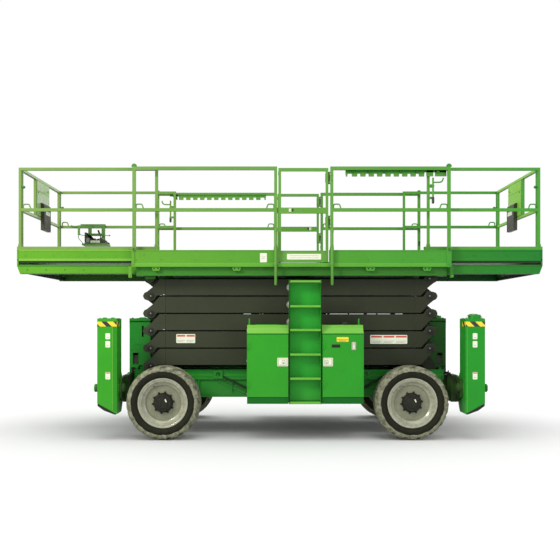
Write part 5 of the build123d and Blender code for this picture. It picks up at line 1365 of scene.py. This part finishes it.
# near face: two blank plates, a raised rim along the foot, screws
k.box(-2.762, -2.462, yb - 0.0030, yb + 0.001, 2.397, 2.404, 0)
k.box(-2.763, -2.757, yb - 0.0030, yb + 0.001, 2.404, 2.540, 0)
k.box(-2.744, -2.700, yb - 0.0018, yb, 2.415, 2.475, 5)
k.box(-2.685, -2.560, yb - 0.0018, yb, 2.410, 2.440, 2)
for z in (2.418, 2.427):
    k.box(-2.678, -2.568, yb - 0.0024, yb, z, z + 0.0025, 5)
for x, z in ((-2.750, 2.528), (-2.750, 2.412), (-2.474, 2.409), (-2.566, 2.455)):
    k.cyl("y", x, z, 0.004, yb - 0.0045, yb, 1, 10)
# raised shoulder's cap and the rubber lip along the dipped top
k.box(-2.765, -2.743, yb + 0.002, yf - 0.002, 2.545, 2.551, 0)
k.prism("y", [(-2.741, 2.546), (-2.7145, 2.493), (-2.688, 2.465), (-2.651, 2.4565), (-2.618, 2.4545), (-2.618, 2.4575), (-2.652, 2.4595), (-2.690, 2.4685), (-2.717, 2.495), (-2.739, 2.5475)], yb - 0.002, yb + 0.004, 4)
k.prism("y", [(-2.741, 2.546), (-2.7145, 2.493), (-2.688, 2.465), (-2.651, 2.4565), (-2.618, 2.4545), (-2.618, 2.4575), (-2.652, 2.4595), (-2.690, 2.4685), (-2.717, 2.495), (-2.739, 2.5475)], yf - 0.004, yf + 0.002, 4)
# joystick: gaiter, stem and a grip that leans outboard
jy = 0.690
k.dome("z", (-2.566, jy, 2.464), [(0, 0), (0, 0.020), (0.006, 0.019), (0.009, 0.014), (0.013, 0.014), (0.016, 0.0105), (0.021, 0.010), (0.024, 0.0075), (0.025, 0)], 4, 24)
k.tube([(-2.566, jy, 2.482), (-2.569, jy, 2.500), (-2.575, jy, 2.522), (-2.582, jy, 2.540)], 0.0070, 0, 12)
k.tube([(-2.580, jy, 2.535), (-2.584, jy, 2.545), (-2.590, jy, 2.560), (-2.596, jy, 2.575), (-2.600, jy, 2.588)], 0.0125, 0, 18)
k.dome("z", (-2.600, jy, 2.586), [(0, 0), (0, 0.0125), (0.004, 0.0115), (0.007, 0.007), (0.008, 0)], 0, 18)
k.box(-2.598, -2.584, jy - 0.0165, jy - 0.010, 2.556, 2.576, 4)
# emergency stop low behind the dip, key switch, toggles down the sloping end
k.cyl("z", -2.636, 0.650, 0.016, 2.452, 2.462, 4, 24)
k.dome("z", (-2.636, 0.650, 2.460), [(0, 0), (0, 0.009), (0.005, 0.009), (0.006, 0.0135), (0.012, 0.0130), (0.015, 0.008), (0.016, 0)], 3, 24)
k.cyl("z", -2.640, 0.730, 0.009, 2.452, 2.464, 1, 18)
k.box(-2.6415, -2.6385, 0.721, 0.739, 2.464, 2.472, 1)
for x, z, y in ((-2.530, 2.456, 0.625), (-2.530, 2.456, 0.660), (-2.530, 2.456, 0.720), (-2.530, 2.456, 0.750), (-2.498, 2.438, 0.640), (-2.498, 2.438, 0.740)):
    k.tube([(x - 0.002, y, z - 0.006), (x + 0.003, y, z + 0.006)], 0.0065, 4, 12)
    k.tube([(x + 0.002, y, z + 0.004), (x + 0.008, y, z + 0.018)], 0.0028, 1, 8)
# small knob on the outer low end
k.cyl("x", 0.640, 2.408, 0.006, -2.462, -2.452, 1, 14)
k.dome("x", (-2.453, 0.640, 2.408), [(0, 0), (0, 0.009), (0.006, 0.0095), (0.010, 0.006), (0.011, 0)], 4, 18)
# rod with a knob from the frame's upright, link from the outer hanger
k.tube([(-2.530, 0.786, 2.531), (-2.500, 0.786, 2.530), (-2.470, 0.786, 2.528)], 0.0045, 6, 10)
k.dome("x", (-2.472, 0.786, 2.528), [(0, 0), (0, 0.0085), (0.008, 0.0095), (0.014, 0.007), (0.016, 0)], 4, 18)
k.tube([(-2.879, 0.786, 2.552), (-2.860, 0.786, 2.536), (-2.820, 0.786, 2.529), (-2.758, 0.786, 2.531)], 0.0045, 6, 10)
# two bent tubes that brace the tray's outer end
for y in (0.782, 0.792):
    k.tube([(-2.892, y, 2.540), (-2.899, y, 2.514), (-2.897, y, 2.494), (-2.882, y, 2.474), (-2.856, y, 2.446), (-2.836, y, 2.420), (-2.818, y, 2.400), (-2.796, y, 2.388)], 0.0038, 6, 10)
# folded lips of the tray
k.box(-2.798, -2.457, 0.590, 0.594, 2.395, 2.401, 6)
k.box(-2.800, -2.796, 0.594, 0.796, 2.395, 2.401, 6)
for x in (-2.782, -2.775):
    k.bolt("z", 1, (x, 0.640 if x < -2.78 else 0.740, 2.395), 0.005, 0.004, 6, washer=False)
# bolts through the hooked plate
for x in (-2.860, -2.700, -2.560):
    k.bolt("y", -1, (x, 0.774, 2.651), 0.007, 0.005, 6)
# chain that hangs between the hooked plate and the end post
for i in range(9):
    a = (-2.908 - i * 0.0105, 0.7865, 2.662 - 0.016 * math.sin(i / 8 * math.pi) + i * 0.0004)
    if i % 2:
        k.tube([(a[0] - 0.008, a[1], a[2] - 0.004), (a[0] + 0.008, a[1], a[2] - 0.004), (a[0] + 0.008, a[1], a[2] + 0.004), (a[0] - 0.008, a[1], a[2] + 0.004)], 0.0022, 6, 6, closed=True)
    else:
        k.tube([(a[0] - 0.008, a[1] - 0.004, a[2]), (a[0] + 0.008, a[1] - 0.004, a[2]), (a[0] + 0.008, a[1] + 0.004, a[2]), (a[0] - 0.008, a[1] + 0.004, a[2])], 0.0022, 6, 6, closed=True)
k.box(-2.998, -2.990, 0.780, 0.8005, 2.654, 2.672, 6)
# cable gland under the box and its lead into the tray
k.cyl("y", -2.500, 2.405, 0.008, yf - 0.001, yf + 0.012, 4, 16)
k.tube([(-2.500, yf + 0.010, 2.405), (-2.500, yf + 0.018, 2.412), (-2.504, yf + 0.020, 2.440), (-2.530, yf + 0.016, 2.470), (-2.548, yf + 0.014, 2.500)], 0.0055, 4, 10)
k.make("console_controls", "front_extension", [M["olive"], M["zinc"], M["white"], M["red"], M["black"], M["grey"], M["mount"]], bevel=0.0008)

# power socket under the front extension's near end
k = Mesh()
k.box(-1.640, -1.560, 0.620, 0.700, 2.110, 2.155, 0)
k.make("deck_socket", "front_extension", [M["chassis"]], bevel=0.002)

# ================================================================ stage, camera, light
def stage_plane(name, size, z):
    me = bpy.data.meshes.new(name)
    me.from_pydata([(-size, -size, z), (size, -size, z), (size, size, z), (-size, size, z)], [], [(0, 1, 2, 3)])
    o = bpy.data.objects.new(name, me)
    bpy.context.scene.collection.objects.link(o)
    return o


floor = stage_plane("studio_floor", 120.0, 0.0)
fm, nt, bsdf = new_material("studio_floor")
tc = nt.nodes.new("ShaderNodeTexCoord")
bsdf.inputs["Roughness"].default_value = 0.9
bsdf.inputs["Specular IOR Level"].default_value = 0.0
bsdf.inputs["Emission Color"].default_value = (1.0, 1.0, 1.0, 1.0)
bsdf.inputs["Emission Strength"].default_value = 0.0
nt.links.new(mix(nt, ramp(nt, noise(nt, tc.outputs["Object"], 0.4, 2), 0.3, 0.7), (0.800, 0.800, 0.797), (0.805, 0.805, 0.802)), bsdf.inputs["Base Color"])
floor.data.materials.append(fm)

world = bpy.data.worlds.new("studio")
bpy.context.scene.world = world
world.use_nodes = True
bg = world.node_tree.nodes["Background"]
bg.inputs[0].default_value = (1.0, 1.0, 1.0, 1.0)
bg.inputs[1].default_value = 1.0

# the softboxes light the machine and leave the floor to the even surround
off_floor = bpy.data.collections.new("softbox_receivers")
off_floor.objects.link(floor)
off_floor.collection_objects[0].light_linking.link_state = "EXCLUDE"


def area(name, where, at, size, power, colour=(1, 1, 1)):
    d = bpy.data.lights.new(name, "AREA")
    d.shape, d.size, d.size_y, d.energy, d.color = "RECTANGLE", size[0], size[1], power, colour
    o = bpy.data.objects.new(name, d)
    o.location = where
    o.rotation_euler = (Vector(at) - Vector(where)).to_track_quat("-Z", "Y").to_euler()
    bpy.context.scene.collection.objects.link(o)
    o.light_linking.receiver_collection = off_floor
    return o


d = bpy.data.lights.new("overhead", "SUN")
d.energy, d.angle = 1.2, math.radians(50)
o = bpy.data.objects.new("overhead", d)
bpy.context.scene.collection.objects.link(o)
area("key", (-8.5, -7.5, 8.0), (-0.8, 0, 1.4), (3.0, 3.0), 1100, (1.0, 0.96, 0.86))
area("fill", (8.0, -8.0, 3.0), (0.5, 0, 1.4), (5.0, 4.0), 150, (0.96, 1.0, 0.96))

cam_data = bpy.data.cameras.new("camera")
cam_data.sensor_width = 36.0
cam_data.sensor_fit = "HORIZONTAL"
cam_data.lens = 48.24
cam_data.shift_x = 0.0125
cam_data.shift_y = 0.0714
cam_data.clip_end = 400.0
cam = bpy.data.objects.new("camera", cam_data)
cam.location = (-0.079, -9.6, 1.36)
cam.rotation_euler = (math.radians(90), 0.0, 0.0)
bpy.context.scene.collection.objects.link(cam)
bpy.context.scene.camera = cam
bpy.context.scene.view_settings.view_transform = "Standard"
